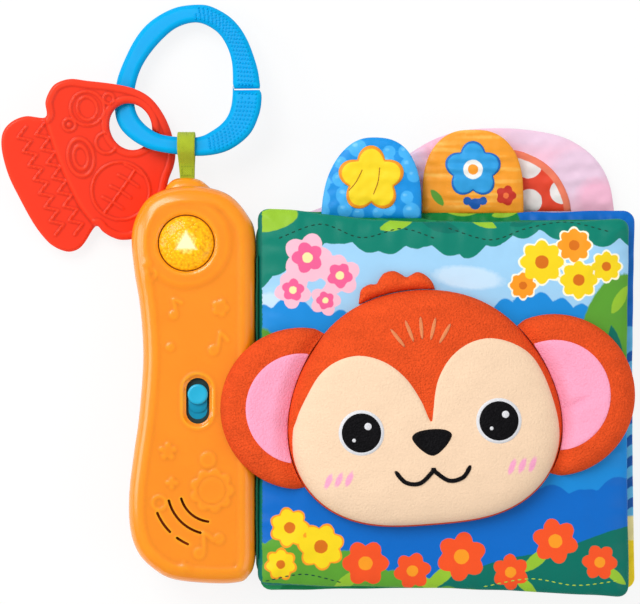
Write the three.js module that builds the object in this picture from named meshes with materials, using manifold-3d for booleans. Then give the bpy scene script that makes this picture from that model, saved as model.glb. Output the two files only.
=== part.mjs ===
// Crinkle cloth book with a rigid sound-and-light handle along its spine.
// The book lies on its back: +X runs from the handle across the leaves, +Y runs up the page,
// +Z comes out of the front cover. The origin is the middle of the handle's flat back.
// Every length is in millimetres. Values whose name ends in share or shares are ratios.

import * as THREE from 'three';
import { mergeVertices } from 'three/addons/utils/BufferGeometryUtils.js';
import Module from 'manifold-3d';

const wasm = await Module();
wasm.setup();

// Clearances shared by all pieces
const seatGap = 0.3;
const cutOverrun = 2;
const mergeShare = 1 / 3000;

// Handle shells
const handleWidth = 57.2;
const handleLength = 178.4;
const handleThickness = 32;
const handleWall = 2.2;
const handleFrontRound = 6.5;
const handleRearRound = 7;
const partingHeight = 16;
const bossDiameter = 6;
const pilotDiameter = 2.2;
const shellScrewHead = 4.4;
const shellScrewShank = 2;
const shellScrewLength = 20;
const screwHeadHeight = 1.6;
const screwSink = 2.4;

// Ribbon boss on top of the handle, with the ribbon that it clamps
const ribbonBossWidth = 17;
const ribbonBossRise = 4.2;
const ribbonBossThickness = 17;
const ribbonX = -2.9;
const ribbonWidth = 8;
const ribbonThickness = 1;
const ribbonReach = 14.3;
const ribbonRun = 5.5;
const ribbonAnchor = 4;

// Light button
const buttonX = -2.3;
const buttonEnd = 25.7;
const buttonDiameter = 25;
const buttonCrown = 4;
const buttonWall = 1.6;
const buttonFlange = 1.6;
const buttonFlangeThickness = 1.5;
const buttonTravel = 1.5;
const buttonPostDiameter = 3;

// Sound switch
const switchX = 2.8;
const switchTop = 3.1;
const slotWidth = 10.4;
const slotLength = 20.6;
const slotRecess = 1;
const slotRecessDepth = 0.8;
const knobDiameter = 9.4;
const knobPlateWidth = 14;
const knobPlateLength = 21;
const knobPlateThickness = 1.5;
const switchTravel = 4.4;
const switchBodyWidth = 8;
const switchBodyLength = 18;

// Speaker behind the sound slots
const speakerX = -3;
const speakerEnd = 30.2;
const speakerDiameter = 28;
const speakerDepth = 7;
const speakerMagnet = 16;
const soundCentreX = 9.2;
const soundCentreY = -47.1;
const soundSlotWidth = 1.2;
const soundRadii = [14.3, 19.9, 26.6];

// Circuit board and what stands on it
const boardLeft = -13;
const boardRight = 14;
const boardEnd = 11.2;
const boardBottom = -28;
const boardThickness = 1.6;
const boardHeight = 17.6;
const lampDiameter = 5;
const lampHeight = 7;
const pressSwitchSize = 6;
const pressSwitchOffset = 8;

// Battery bay at the back
const batteryDiameter = 10.5;
const batteryLength = 44.5;
const batteryPitch = 11.2;
const bayY = -40;
const bayWall = 1.4;
const contactThickness = 0.6;
const contactHeight = 8;
const doorMargin = 2;
const doorThickness = 1.9;
const doorScrewInset = 3.4;

// Cloth spine between the handle and the leaves
const spineThickness = 0.8;
const spineTongue = 7;
const clampBarWidth = 4;
const clampBarThickness = 2.6;
const spineBottomEnd = 11.2;
const spineTopEnd = 31.2;
const hingeGap = 1.4;

// Leaves, given from the back one to the front cover
const leafBottom = -93.5;
const leafWidth = 166.5;
const leafLength = 170;
const backLeafExtra = 1.5;
const thirdLeafExtra = 2.5;
const thirdLeafMargin = 4;
const frontCoverExtra = 1;
const leafCorner = 10;
const leafSideDraw = 1.1;
const leafSideSteps = 4;
const leafCrownReach = 34;
const clothThickness = 0.6;
const filmThickness = 0.3;
const leafTop = leafBottom + leafLength;
const backLeaf = { name: 'back_leaf', width: leafWidth, top: leafTop + backLeafExtra, thickness: 7.9 };
const thirdLeaf = {
  name: 'leaf_3',
  width: leafWidth + thirdLeafMargin,
  top: leafTop + thirdLeafExtra,
  thickness: 6.7,
};
const secondLeaf = { name: 'leaf_2', width: leafWidth, top: leafTop, thickness: 6.7 };
const frontCover = { name: 'front_cover', width: leafWidth, top: leafTop + frontCoverExtra, thickness: 9.8 };
const leaves = [backLeaf, thirdLeaf, secondLeaf, frontCover];

// Tabs along the top edges of the leaves
const tabThickness = 3.4;
const blueTabX = 80.7;
const blueTabWidth = 45.6;
const blueTabHeight = 35.6;
const orangeTabX = 127;
const orangeTabWidth = 46.3;
const orangeTabHeight = 37;
const pinkDomeWidth = 143.7;
const pinkDomeHeight = 38.2;
const pinkDomeX = 120.4;
const patchThickness = 0.8;
const dotPatchRadius = 30.5;
const dotPatchX = 141.6;
const dotPatchDrop = 2;
const motifSize = 25;

// Plush head on the front cover
const headX = 103.5;
const headY = -6;
const headRadius = 57.4;
const headTilt = 4.5;
const headCrown = 14;
const headEdge = 2.4;
const plushThickness = 1.6;
const maskX = 105;
const maskY = -38;
const maskSize = 60;
const eyeDiameter = 24.5;
const leftEyeX = 74.8;
const leftEyeY = -21.5;
const rightEyeX = 137.4;
const rightEyeY = -15.3;
const noseX = 107.5;
const noseY = -23.7;
const noseWidth = 21;
const noseHeight = 11.6;
const tuftX = 91;
const tuftY = 35;
const tuftWidth = 33;
const tuftHeight = 16.5;
const tuftThickness = 6;

// Ears beside the head
const earRadius = 36.3;
const earThickness = 7.7;
const leftEarX = 49.2;
const leftEarY = -10.6;
const leftEarFold = 43;
const rightEarX = 162.4;
const rightEarY = -4.5;
const rightEarFold = 170;
const earLiningShare = 0.68;

// Link ring
const ringWidth = 66.8;
const ringHeight = 69.2;
const ringThickness = 6.2;
const ringChamfer = 1.5;
const ringSplit = 0.8;
const ringFallXShare = 0.145;
const ringFallYShare = -0.16;

// Teether
const teetherSize = 77.8;
const teetherThickness = 4.8;
const teetherRound = 1.2;
const teetherX = -47.3;
const teetherY = 98.9;
const teetherFallXShare = -0.168;
const teetherFallYShare = 0.158;
const teetherHoleX = -28.4;
const teetherHoleY = 116.7;
const teetherHoleWidth = 19;
const teetherHoleHeight = 21.4;
const teetherHoleTurn = 22;
const crossingX = -26.1;
const crossingY = 119.4;
const crossingLift = 0.3;
const linkGap = 0.35;
const teetherHandleGap = 2.3;

// Outline points as shares of the half sizes that they follow, counter-clockwise
const handleOutlineShares = [
  [1, -0.85], [1, -0.4], [1, 0], [1, 0.4], [0.99, 0.74], [0.86, 0.86], [0.56, 0.96], [0.1, 1], [-0.35, 0.99],
  [-0.68, 0.94], [-0.87, 0.85], [-0.95, 0.74], [-0.91, 0.58], [-0.82, 0.4], [-0.77, 0.2], [-0.78, 0.04],
  [-0.84, -0.18], [-0.92, -0.36], [-0.99, -0.56], [-0.97, -0.73], [-0.84, -0.85], [-0.6, -0.93],
  [-0.31, -0.98], [0.18, -1], [0.66, -1], [0.88, -0.97],
];
const ringOuterShares = [
  [1, -0.26], [0.98, -0.08], [0.93, 0.19], [0.79, 0.55], [0.6, 0.8], [0.34, 0.96], [0.13, 1], [-0.19, 0.96],
  [-0.5, 0.8], [-0.71, 0.58], [-0.88, 0.26], [-0.98, -0.03], [-1, -0.38], [-0.94, -0.6], [-0.78, -0.77],
  [-0.54, -0.9], [-0.22, -0.97], [0.2, -1], [0.55, -0.93], [0.83, -0.73], [0.96, -0.48],
];
const ringInnerShares = [
  [0.61, -0.08], [0.59, 0.26], [0.48, 0.53], [0.32, 0.69], [0.09, 0.77], [-0.19, 0.69], [-0.45, 0.46],
  [-0.64, 0.19], [-0.73, -0.08], [-0.74, -0.3], [-0.68, -0.48], [-0.52, -0.64], [-0.31, -0.73], [0.11, -0.76],
  [0.34, -0.67], [0.51, -0.53], [0.59, -0.35],
];
const teetherOutlineShares = [
  [1, 0.17], [0.95, 0.41], [0.85, 0.63], [0.71, 0.8], [0.52, 0.9], [0.28, 0.95], [0, 0.98], [-0.2, 1],
  [-0.36, 0.95], [-0.44, 0.86], [-0.49, 0.73], [-0.49, 0.56], [-0.72, 0.57], [-0.89, 0.5], [-0.99, 0.37],
  [-1, 0.17], [-0.93, -0.11], [-0.81, -0.37], [-0.65, -0.67], [-0.5, -0.87], [-0.38, -0.96], [-0.25, -1],
  [-0.14, -0.97], [-0.06, -0.89], [0.07, -0.7], [0.16, -0.77], [0.26, -0.83], [0.38, -0.86], [0.55, -0.82],
  [0.78, -0.6], [0.88, -0.32], [0.92, -0.15], [0.98, 0.01],
];
const maskOutlineShares = [
  [0.76, 0.14], [0.77, 0.38], [0.75, 0.6], [0.68, 0.8], [0.58, 0.93], [0.46, 0.99], [0.3, 0.94], [0.15, 0.74],
  [0.05, 0.5], [-0.02, 0.48], [-0.1, 0.68], [-0.24, 0.82], [-0.44, 0.85], [-0.64, 0.81], [-0.8, 0.68],
  [-0.89, 0.48], [-0.9, 0.2], [-0.84, -0.04], [-0.66, -0.23], [-0.36, -0.34], [0, -0.37], [0.34, -0.3],
  [0.6, -0.14],
];
const domeOutlineShares = [
  [1, 0], [0.995, 0.25], [0.96, 0.5], [0.84, 0.72], [0.62, 0.89], [0.34, 0.98], [0, 1], [-0.34, 0.98],
  [-0.62, 0.89], [-0.84, 0.72], [-0.96, 0.5], [-0.995, 0.25], [-1, 0],
];
const pinkOutlineShares = [
  [1, 0], [0.97, 0.34], [0.9, 0.6], [0.78, 0.8], [0.62, 0.93], [0.36, 1], [0.08, 0.99], [-0.12, 0.9],
  [-0.3, 0.72], [-0.5, 0.46], [-0.75, 0.18], [-1, 0],
];
const tuftOutlineShares = [
  [1, 0], [0.98, 0.4], [0.8, 0.75], [0.52, 0.86], [0.3, 0.72], [0.1, 0.98], [-0.24, 1], [-0.46, 0.72],
  [-0.72, 0.66], [-0.96, 0.36], [-1, 0],
];

// Edge profiles as shares of a round, a crown or a radius and of the rise that goes with it
const rearProfileShares = [[1, 0], [0.5, 0.28], [0.2, 0.72], [0, 1.6]];
const frontProfileShares = [[0, 1], [0.16, 0.52], [0.5, 0.14], [1, 0]];
const buttonProfileShares = [[1, 0.15], [0.9, 0.5], [0.66, 0.82], [0.34, 0.96], [0, 1]];
const lampProfileShares = [[0, 0], [1.2, 0], [1.2, 0.4], [1, 0.4]];
const tabProfileShares = [[1, 0], [0.94, 0.6], [0.7, 1]];
const tuftProfileShares = [[1, 0], [0.85, 0.7], [0.5, 1]];
const leafProfileShares = [[0, 0], [0.09, 0.42], [0.3, 0.76], [1, 1]];
const headProfileShares = [[1, 0], [0.97, 0.3], [0.88, 0.62], [0.7, 0.84], [0.42, 0.97], [0.14, 1]];
const earProfileShares = [[1, 0], [0.93, 0.62], [0.8, 0.95], [0.6, 1], [0.25, 0.82]];
const speakerProfileShares = { back: 0.45, rim: 0.25, cone: 0.3, middle: 0.2, lip: 0.9 };
const headWaveShares = { crown: 0.12, width: 0.06, jowls: 0.047, corners: 0.022 };
const ribbonBossEdgeShare = 0.3;
const batteryNubShare = 0.36;
const motifRiseShare = 0.46;
const soundArcs = [
  { ring: 0, from: 196, to: 263 },
  { ring: 1, from: 194, to: 255 },
  { ring: 2, from: 203, to: 225 },
  { ring: 2, from: 234, to: 246 },
];
const shellScrewInsets = [
  { across: 1, side: 10.1, along: 1, end: 29.2 },
  { across: -1, side: 9.1, along: 1, end: 37.2 },
  { across: 1, side: 8.6, along: -1, end: 9.2 },
  { across: -1, side: 8.6, along: -1, end: 23.2 },
];

// Places worked out from the sizes above
const halfWidth = handleWidth / 2;
const halfLength = handleLength / 2;
const buttonY = halfLength - buttonEnd;
const speakerY = speakerEnd - halfLength;
const boardTop = halfLength - boardEnd;
const spineBottom = spineBottomEnd - halfLength;
const spineTop = halfLength - spineTopEnd;
const faceHeight = handleThickness;
const wallX = halfWidth + seatGap;
const leafLeft = wallX + hingeGap;
const shellScrewPlaces = shellScrewInsets.map(({ across, side, along, end }) => [
  across * (halfWidth - side),
  along * (halfLength - end),
]);
const ringPivotY = halfLength + ribbonBossRise + ribbonReach;
const coverTop = faceHeight + seatGap;
const earTop = coverTop + earThickness;
const slotSideGap = (slotWidth - knobDiameter) / 2;
const knobTailLength = slotLength - slotSideGap * 2 - switchTravel;
const ceilingHeight = faceHeight - handleWall;

const finishes = {
  orange: { color: 0xff961a, roughness: 0.32, metalness: 0 },
  amber: { color: 0xffb400, roughness: 0.2, metalness: 0 },
  cyan: { color: 0x14aad2, roughness: 0.35, metalness: 0 },
  sky: { color: 0x00a8f0, roughness: 0.35, metalness: 0 },
  red: { color: 0xff4226, roughness: 0.45, metalness: 0 },
  lime: { color: 0xa5be2d, roughness: 0.9, metalness: 0 },
  steel: { color: 0x9a9ea2, roughness: 0.35, metalness: 0.9 },
  board: { color: 0x1f6b3a, roughness: 0.6, metalness: 0 },
  black: { color: 0x26262a, roughness: 0.6, metalness: 0 },
  white: { color: 0xf2f2ee, roughness: 0.6, metalness: 0 },
  print: { color: 0x2f9f8f, roughness: 0.6, metalness: 0 },
  green: { color: 0x1e8a50, roughness: 0.6, metalness: 0 },
  wadding: { color: 0xf4f2ea, roughness: 0.95, metalness: 0 },
  film: { color: 0xd8e4ea, roughness: 0.2, metalness: 0 },
  blue: { color: 0x0096e6, roughness: 0.6, metalness: 0 },
  yellow: { color: 0xf0d714, roughness: 0.6, metalness: 0 },
  streak: { color: 0xf9a023, roughness: 0.6, metalness: 0 },
  pink: { color: 0xf0b4d2, roughness: 0.4, metalness: 0 },
  patch: { color: 0xd8322a, roughness: 0.6, metalness: 0 },
  rust: { color: 0xe1502a, roughness: 0.95, metalness: 0 },
  cream: { color: 0xfcdeb4, roughness: 0.95, metalness: 0 },
  lining: { color: 0xffaac3, roughness: 0.9, metalness: 0 },
  thread: { color: 0x161416, roughness: 0.6, metalness: 0 },
};

// General helpers

function radians(degrees) {
  return degrees * Math.PI / 180;
}

// Points of an outline from shares of a half width and a half height about a centre.
function fromShares(shares, halfX, halfY, centreX = 0, centreY = 0) {
  return shares.map(([x, y]) => new THREE.Vector2(centreX + x * halfX, centreY + y * halfY));
}

// Evenly spaced points of the smooth closed curve through the given ones.
function smoothClosed(points, count) {
  const curve = new THREE.CatmullRomCurve3(points.map((p) => new THREE.Vector3(p.x, p.y, 0)), true);
  return curve.getSpacedPoints(count).slice(0, count).map((p) => new THREE.Vector2(p.x, p.y));
}

function circle(centreX, centreY, diameter, count = 24) {
  const points = [];
  for (let i = 0; i < count; i += 1) {
    const angle = (i / count) * Math.PI * 2;
    points.push(new THREE.Vector2(
      centreX + Math.cos(angle) * diameter / 2,
      centreY + Math.sin(angle) * diameter / 2,
    ));
  }
  return points;
}

// A slot with round ends; its straight sides run along Y.
function stadium(centreX, centreY, width, length, steps = 6) {
  const points = [];
  for (const end of [1, -1]) {
    for (let i = 0; i <= steps; i += 1) {
      const angle = (i / steps) * Math.PI + (end > 0 ? 0 : Math.PI);
      points.push(new THREE.Vector2(
        centreX + Math.cos(angle) * width / 2,
        centreY + end * (length - width) / 2 + Math.sin(angle) * width / 2,
      ));
    }
  }
  return points;
}

// A rectangle with round corners; each side is drawn in at its middle.
function roundedRectangle(left, bottom, right, top, corner, draw = 0, cornerSteps = 3, sideSteps = 4) {
  const points = [];
  const corners = [
    [right - corner, bottom + corner, -90],
    [right - corner, top - corner, 0],
    [left + corner, top - corner, 90],
    [left + corner, bottom + corner, 180],
  ];
  corners.forEach(([x, y, start], index) => {
    for (let i = 0; i <= cornerSteps; i += 1) {
      const angle = radians(start + (i / cornerSteps) * 90);
      points.push(new THREE.Vector2(x + Math.cos(angle) * corner, y + Math.sin(angle) * corner));
    }
    const [nextX, nextY] = corners[(index + 1) % corners.length];
    const from = points[points.length - 1];
    const turn = radians(start + 90);
    const to = new THREE.Vector2(nextX + Math.cos(turn) * corner, nextY + Math.sin(turn) * corner);
    for (let i = 1; i < sideSteps; i += 1) {
      const share = i / sideSteps;
      const pull = draw * Math.sin(share * Math.PI);
      points.push(new THREE.Vector2(
        from.x + (to.x - from.x) * share - Math.cos(turn) * pull,
        from.y + (to.y - from.y) * share - Math.sin(turn) * pull,
      ));
    }
  });
  return points;
}

// Moves each point of an outline inwards by a distance, square to the outline there.
function inset(outline, distance) {
  const count = outline.length;
  return outline.map((point, i) => {
    const before = outline[(i + count - 1) % count];
    const after = outline[(i + 1) % count];
    const along = new THREE.Vector2().subVectors(after, before).normalize();
    return new THREE.Vector2(point.x - along.y * distance, point.y + along.x * distance);
  });
}

// Draws an outline in towards a centre, by the same distance on both axes.
function drawIn(outline, centre, halfX, halfY, distance) {
  const shareX = 1 - distance / halfX;
  const shareY = 1 - distance / halfY;
  return outline.map((p) => new THREE.Vector2(
    centre.x + (p.x - centre.x) * shareX,
    centre.y + (p.y - centre.y) * shareY,
  ));
}

// A ring is an outline at a height.
function ringAt(outline, height) {
  return outline.map((p) => [p.x, p.y, height]);
}

// Closed solid skinned over a stack of rings, from the ring whose cap looks down to the one
// whose cap looks up. With loop set, the last ring joins the first and there are no caps.
function skin(rings, loop = false) {
  const count = rings[0].length;
  const positions = rings.flat(2);
  const index = [];
  const last = loop ? rings.length : rings.length - 1;
  for (let r = 0; r < last; r += 1) {
    const low = r * count;
    const high = ((r + 1) % rings.length) * count;
    for (let i = 0; i < count; i += 1) {
      const next = (i + 1) % count;
      index.push(low + i, low + next, high + next);
      index.push(low + i, high + next, high + i);
    }
  }
  if (!loop) {
    const caps = [[rings[0], 0, true], [rings[rings.length - 1], (rings.length - 1) * count, false]];
    for (const [ring, start, facesDown] of caps) {
      const contour = ring.map(([x, y]) => new THREE.Vector2(x, y));
      for (const [a, b, c] of THREE.ShapeUtils.triangulateShape(contour, [])) {
        if (facesDown) {
          index.push(start + a, start + c, start + b);
        } else {
          index.push(start + a, start + b, start + c);
        }
      }
    }
  }
  const geometry = new THREE.BufferGeometry();
  geometry.setAttribute('position', new THREE.Float32BufferAttribute(positions, 3));
  geometry.setIndex(index);
  return geometry;
}

// Straight prism of an outline between two heights.
function prism(outline, low, high) {
  return skin([ringAt(outline, low), ringAt(outline, high)]);
}

function block(left, bottom, low, right, top, high) {
  const outline = [
    new THREE.Vector2(left, bottom),
    new THREE.Vector2(right, bottom),
    new THREE.Vector2(right, top),
    new THREE.Vector2(left, top),
  ];
  return prism(outline, low, high);
}

function solidOf(geometry) {
  const bare = geometry.clone();
  bare.deleteAttribute('normal');
  bare.deleteAttribute('uv');
  const merged = mergeVertices(bare, seatGap * mergeShare);
  return new wasm.Manifold(new wasm.Mesh({
    numProp: 3,
    vertProperties: new Float32Array(merged.attributes.position.array),
    triVerts: new Uint32Array(merged.index.array),
  }));
}

function geometryOf(solid) {
  const { vertProperties, triVerts } = solid.getMesh();
  const geometry = new THREE.BufferGeometry();
  geometry.setAttribute('position', new THREE.BufferAttribute(vertProperties, 3));
  geometry.setIndex(new THREE.BufferAttribute(triVerts, 1));
  return geometry;
}

function cut(body, ...tools) {
  return geometryOf(tools.reduce((solid, tool) => solid.subtract(solidOf(tool)), solidOf(body)));
}

function join(body, ...others) {
  return geometryOf(others.reduce((solid, other) => solid.add(solidOf(other)), solidOf(body)));
}

function common(body, other) {
  return geometryOf(solidOf(body).intersect(solidOf(other)));
}

const book = new THREE.Group();

function add(name, geometry, finish, flat = false) {
  const shown = flat ? geometry.toNonIndexed() : geometry;
  shown.computeVertexNormals();
  const mesh = new THREE.Mesh(shown, new THREE.MeshStandardMaterial(finishes[finish]));
  mesh.name = name;
  book.add(mesh);
  return mesh;
}

// Handle

// Its right side is straight, where the spine cloth lies against it.
const handleOutline = smoothClosed(fromShares(handleOutlineShares, halfWidth, halfLength), 46);
for (const point of handleOutline) point.x = Math.min(point.x, halfWidth);

// Rings of the rear half, from the flat back up to the parting plane, drawn in by an extra distance.
function rearRings(extra, floor, rim) {
  const round = rearProfileShares.map(([reach, rise]) => ringAt(
    inset(handleOutline, handleRearRound * reach + (rise > 0 ? extra : extra / 2)),
    floor + handleRearRound * rise,
  ));
  return [...round, ringAt(inset(handleOutline, extra), rim)];
}

// Rings of the front half, from the parting plane up to the flat face.
function frontRings(extra, rim, ceiling) {
  const round = frontProfileShares.map(([reach, drop]) => ringAt(
    inset(handleOutline, handleFrontRound * reach + (drop > 0 ? extra : extra / 2)),
    ceiling - handleFrontRound * drop,
  ));
  return [ringAt(inset(handleOutline, extra), rim), ...round];
}

// The whole outside of the handle, grown by a clearance, to cut what lies close to it.
function handleEnvelope(growth) {
  const rings = rearRings(-growth, 0, partingHeight).slice(0, -1);
  return skin([...rings, ...frontRings(-growth, partingHeight, faceHeight)]);
}

function ribbonBoss(low, high) {
  const middle = (low + high) / 2;
  const outline = roundedRectangle(
    ribbonX - ribbonBossWidth / 2,
    halfLength - ribbonBossRise * 2,
    ribbonX + ribbonBossWidth / 2,
    halfLength + ribbonBossRise,
    ribbonBossRise,
  );
  const far = low < middle && middle < partingHeight ? low : high;
  const near = far === low ? high : low;
  const step = (near - far) * ribbonBossEdgeShare;
  const edge = Math.abs(step) * ribbonBossEdgeShare;
  const rings = [ringAt(outline, near), ringAt(outline, far + step), ringAt(inset(outline, edge), far)];
  return skin(far === low ? rings.reverse() : rings);
}

function ribbonSlot() {
  const half = ribbonWidth / 2 + seatGap;
  const rise = ribbonThickness + seatGap;
  return block(
    ribbonX - half,
    halfLength - handleWall * 2,
    partingHeight - rise,
    ribbonX + half,
    halfLength + ribbonBossRise + cutOverrun,
    partingHeight + rise,
  );
}

function spineSlot() {
  const rise = spineThickness / 2 + seatGap;
  return block(
    halfWidth - handleWall * 2,
    spineBottom - seatGap,
    partingHeight - rise,
    halfWidth + cutOverrun,
    spineTop + seatGap,
    partingHeight + rise,
  );
}

// One curved sound slot: a stretch of ring with the slot's width.
function soundSlot({ ring, from, to }) {
  const steps = 5;
  const radius = soundRadii[ring];
  const points = [];
  for (const side of [1, -1]) {
    for (let i = 0; i <= steps; i += 1) {
      const share = side > 0 ? i / steps : 1 - i / steps;
      const angle = radians(from + (to - from) * share);
      const reach = radius + side * soundSlotWidth / 2;
      points.push(new THREE.Vector2(
        soundCentreX + Math.cos(angle) * reach,
        soundCentreY + Math.sin(angle) * reach,
      ));
    }
  }
  return prism(points, ceilingHeight - cutOverrun, faceHeight + cutOverrun);
}

function frontShell() {
  const rim = partingHeight + seatGap / 2;
  const outside = skin(frontRings(0, rim, faceHeight));
  const inside = skin(frontRings(handleWall, rim - cutOverrun, ceilingHeight));
  const boss = ribbonBoss(rim, partingHeight + ribbonBossThickness / 2);
  const shell = join(cut(outside, inside), cut(boss, inside));
  const posts = shellScrewPlaces.map(([x, y]) => prism(
    circle(x, y, bossDiameter, 12),
    rim,
    faceHeight - handleWall / 2,
  ));
  const pilots = shellScrewPlaces.map(([x, y]) => prism(
    circle(x, y, pilotDiameter, 8),
    rim - cutOverrun,
    screwSink + screwHeadHeight + shellScrewLength + seatGap,
  ));
  const window = stadium(switchX, switchTop - slotLength / 2, slotWidth, slotLength);
  const recess = stadium(
    switchX,
    switchTop - slotLength / 2,
    slotWidth + slotRecess * 2,
    slotLength + slotRecess * 2,
  );
  return cut(
    join(shell, ...posts),
    ...pilots,
    prism(circle(buttonX, buttonY, buttonDiameter + seatGap * 2, 28), rim, faceHeight + cutOverrun),
    prism(window, ceilingHeight - cutOverrun, faceHeight + cutOverrun),
    prism(recess, faceHeight - slotRecessDepth, faceHeight + cutOverrun),
    ...soundArcs.map(soundSlot),
    ribbonSlot(),
    spineSlot(),
  );
}

// Battery bay: an open box inside the rear shell, closed from behind by the door.
const bayHalfWidth = batteryPitch / 2 + batteryDiameter / 2 + seatGap * 2;
const bayHalfLength = batteryLength / 2 + contactThickness + seatGap * 3;
const bayCeiling = doorThickness + batteryDiameter + seatGap * 3;
const doorHalfWidth = bayHalfWidth + doorMargin;
const doorHalfLength = bayHalfLength + doorMargin + doorScrewInset;

function rearShell() {
  const rim = partingHeight - seatGap / 2;
  const outside = skin(rearRings(0, 0, rim));
  const inside = skin(rearRings(handleWall, handleWall, rim + cutOverrun));
  const bossLow = partingHeight - ribbonBossThickness / 2;
  const shell = join(cut(outside, inside), cut(ribbonBoss(bossLow, rim), inside));
  const posts = shellScrewPlaces.map(([x, y]) => prism(
    circle(x, y, bossDiameter + handleWall, 12),
    handleWall / 2,
    rim,
  ));
  const bay = block(
    -bayHalfWidth - bayWall,
    bayY - bayHalfLength - bayWall,
    handleWall / 2,
    bayHalfWidth + bayWall,
    bayY + bayHalfLength + bayWall,
    bayCeiling + bayWall,
  );
  const ledge = block(
    -doorScrewInset - bayWall,
    bayY - doorHalfLength - seatGap,
    handleWall / 2,
    doorScrewInset + bayWall,
    bayY - bayHalfLength,
    doorThickness + bossDiameter,
  );
  const room = block(
    -bayHalfWidth,
    bayY - bayHalfLength,
    -cutOverrun,
    bayHalfWidth,
    bayY + bayHalfLength,
    bayCeiling,
  );
  const doorSeat = block(
    -doorHalfWidth - seatGap,
    bayY - doorHalfLength - seatGap,
    -cutOverrun,
    doorHalfWidth + seatGap,
    bayY + doorHalfLength + seatGap,
    doorThickness + seatGap,
  );
  const doorFrame = block(
    -doorHalfWidth - doorMargin,
    bayY - doorHalfLength - doorMargin,
    handleWall / 2,
    doorHalfWidth + doorMargin,
    bayY + doorHalfLength + doorMargin,
    doorThickness + seatGap + bayWall,
  );
  const heads = shellScrewPlaces.map(([x, y]) => prism(
    circle(x, y, shellScrewHead + seatGap * 2, 12),
    -cutOverrun,
    screwSink + screwHeadHeight,
  ));
  const shanks = shellScrewPlaces.map(([x, y]) => prism(
    circle(x, y, shellScrewShank + seatGap * 2, 8),
    0,
    rim + cutOverrun,
  ));
  return cut(
    join(shell, ...posts, doorFrame, bay, ledge),
    room,
    doorSeat,
    prism(circle(0, doorScrewY, pilotDiameter, 8), 0, doorThickness + bossDiameter - handleWall / 2),
    ...heads,
    ...shanks,
    ribbonSlot(),
    spineSlot(),
  );
}

const doorScrewY = bayY - bayHalfLength - doorScrewInset;

function batteryDoor() {
  const plate = prism(
    roundedRectangle(
      -doorHalfWidth,
      bayY - doorHalfLength,
      doorHalfWidth,
      bayY + doorHalfLength,
      doorMargin,
    ),
    0,
    doorThickness,
  );
  const sink = prism(circle(0, doorScrewY, shellScrewHead + seatGap * 2, 12), -cutOverrun, doorThickness / 2);
  const hole = prism(
    circle(0, doorScrewY, pilotDiameter + seatGap, 8),
    -cutOverrun,
    doorThickness + cutOverrun,
  );
  return cut(plate, sink, hole);
}

// A pan-head screw that points up, its head's lowest face at the given height.
function screw(x, y, low, headDiameter, headHeight, shankDiameter, length) {
  const profile = [
    new THREE.Vector2(0, 0),
    new THREE.Vector2(headDiameter / 2, 0),
    new THREE.Vector2(headDiameter / 2, headHeight),
    new THREE.Vector2(shankDiameter / 2, headHeight),
    new THREE.Vector2(shankDiameter / 2, headHeight + length - shankDiameter),
    new THREE.Vector2(0, headHeight + length),
  ];
  const geometry = new THREE.LatheGeometry(profile, 8);
  geometry.rotateX(Math.PI / 2);
  geometry.translate(x, y, low);
  geometry.deleteAttribute('normal');
  geometry.deleteAttribute('uv');
  return mergeVertices(geometry, seatGap * mergeShare);
}

function lightButton() {
  const radius = buttonDiameter / 2;
  const flangeRadius = radius + buttonFlange;
  const flangeTop = ceilingHeight - seatGap;
  const flangeLow = flangeTop - buttonFlangeThickness;
  const domeTop = faceHeight + buttonCrown;
  const innerRadius = radius - buttonWall;
  const profile = [
    new THREE.Vector2(0, domeTop - buttonWall),
    new THREE.Vector2(innerRadius * 0.6, domeTop - buttonWall - buttonCrown / 4),
    new THREE.Vector2(innerRadius, faceHeight - buttonWall / 2),
    new THREE.Vector2(innerRadius, flangeLow),
    new THREE.Vector2(flangeRadius, flangeLow),
    new THREE.Vector2(flangeRadius, flangeTop),
    new THREE.Vector2(radius, flangeTop),
    ...buttonProfileShares.map(([reach, rise]) => new THREE.Vector2(
      radius * reach,
      faceHeight + buttonCrown * rise,
    )),
  ];
  const dome = new THREE.LatheGeometry(profile, 28);
  dome.rotateX(Math.PI / 2);
  dome.translate(buttonX, buttonY, 0);
  const postLow = boardHeight + boardThickness + lampHeight - buttonTravel + seatGap;
  const post = prism(
    circle(buttonX + pressSwitchOffset, buttonY, buttonPostDiameter, 10),
    postLow,
    faceHeight,
  );
  return join(dome, post);
}

// Tall enough to meet the button's post after the button's travel.
function pressSwitch() {
  const low = boardHeight + boardThickness + seatGap;
  const postLow = boardHeight + boardThickness + lampHeight - buttonTravel + seatGap;
  const top = postLow - buttonTravel - seatGap;
  const half = pressSwitchSize / 2;
  const x = buttonX + pressSwitchOffset;
  const body = block(x - half, buttonY - half, low, x + half, buttonY + half, (low + top) / 2);
  return join(body, prism(circle(x, buttonY, pressSwitchSize / 2, 10), low + seatGap, top));
}

function lamp() {
  const radius = lampDiameter / 2;
  const low = boardHeight + boardThickness + seatGap;
  const profile = lampProfileShares.map(([reach, rise]) => new THREE.Vector2(radius * reach, radius * rise));
  profile.push(new THREE.Vector2(radius, lampHeight - radius));
  profile.push(new THREE.Vector2(radius * Math.SQRT1_2, lampHeight - radius * (1 - Math.SQRT1_2)));
  profile.push(new THREE.Vector2(0, lampHeight));
  const geometry = new THREE.LatheGeometry(profile, 12);
  geometry.rotateX(Math.PI / 2);
  geometry.translate(buttonX, buttonY, low);
  return geometry;
}

function circuitBoard() {
  return prism(
    roundedRectangle(boardLeft, boardBottom, boardRight, boardTop, boardThickness),
    boardHeight,
    boardHeight + boardThickness,
  );
}

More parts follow.
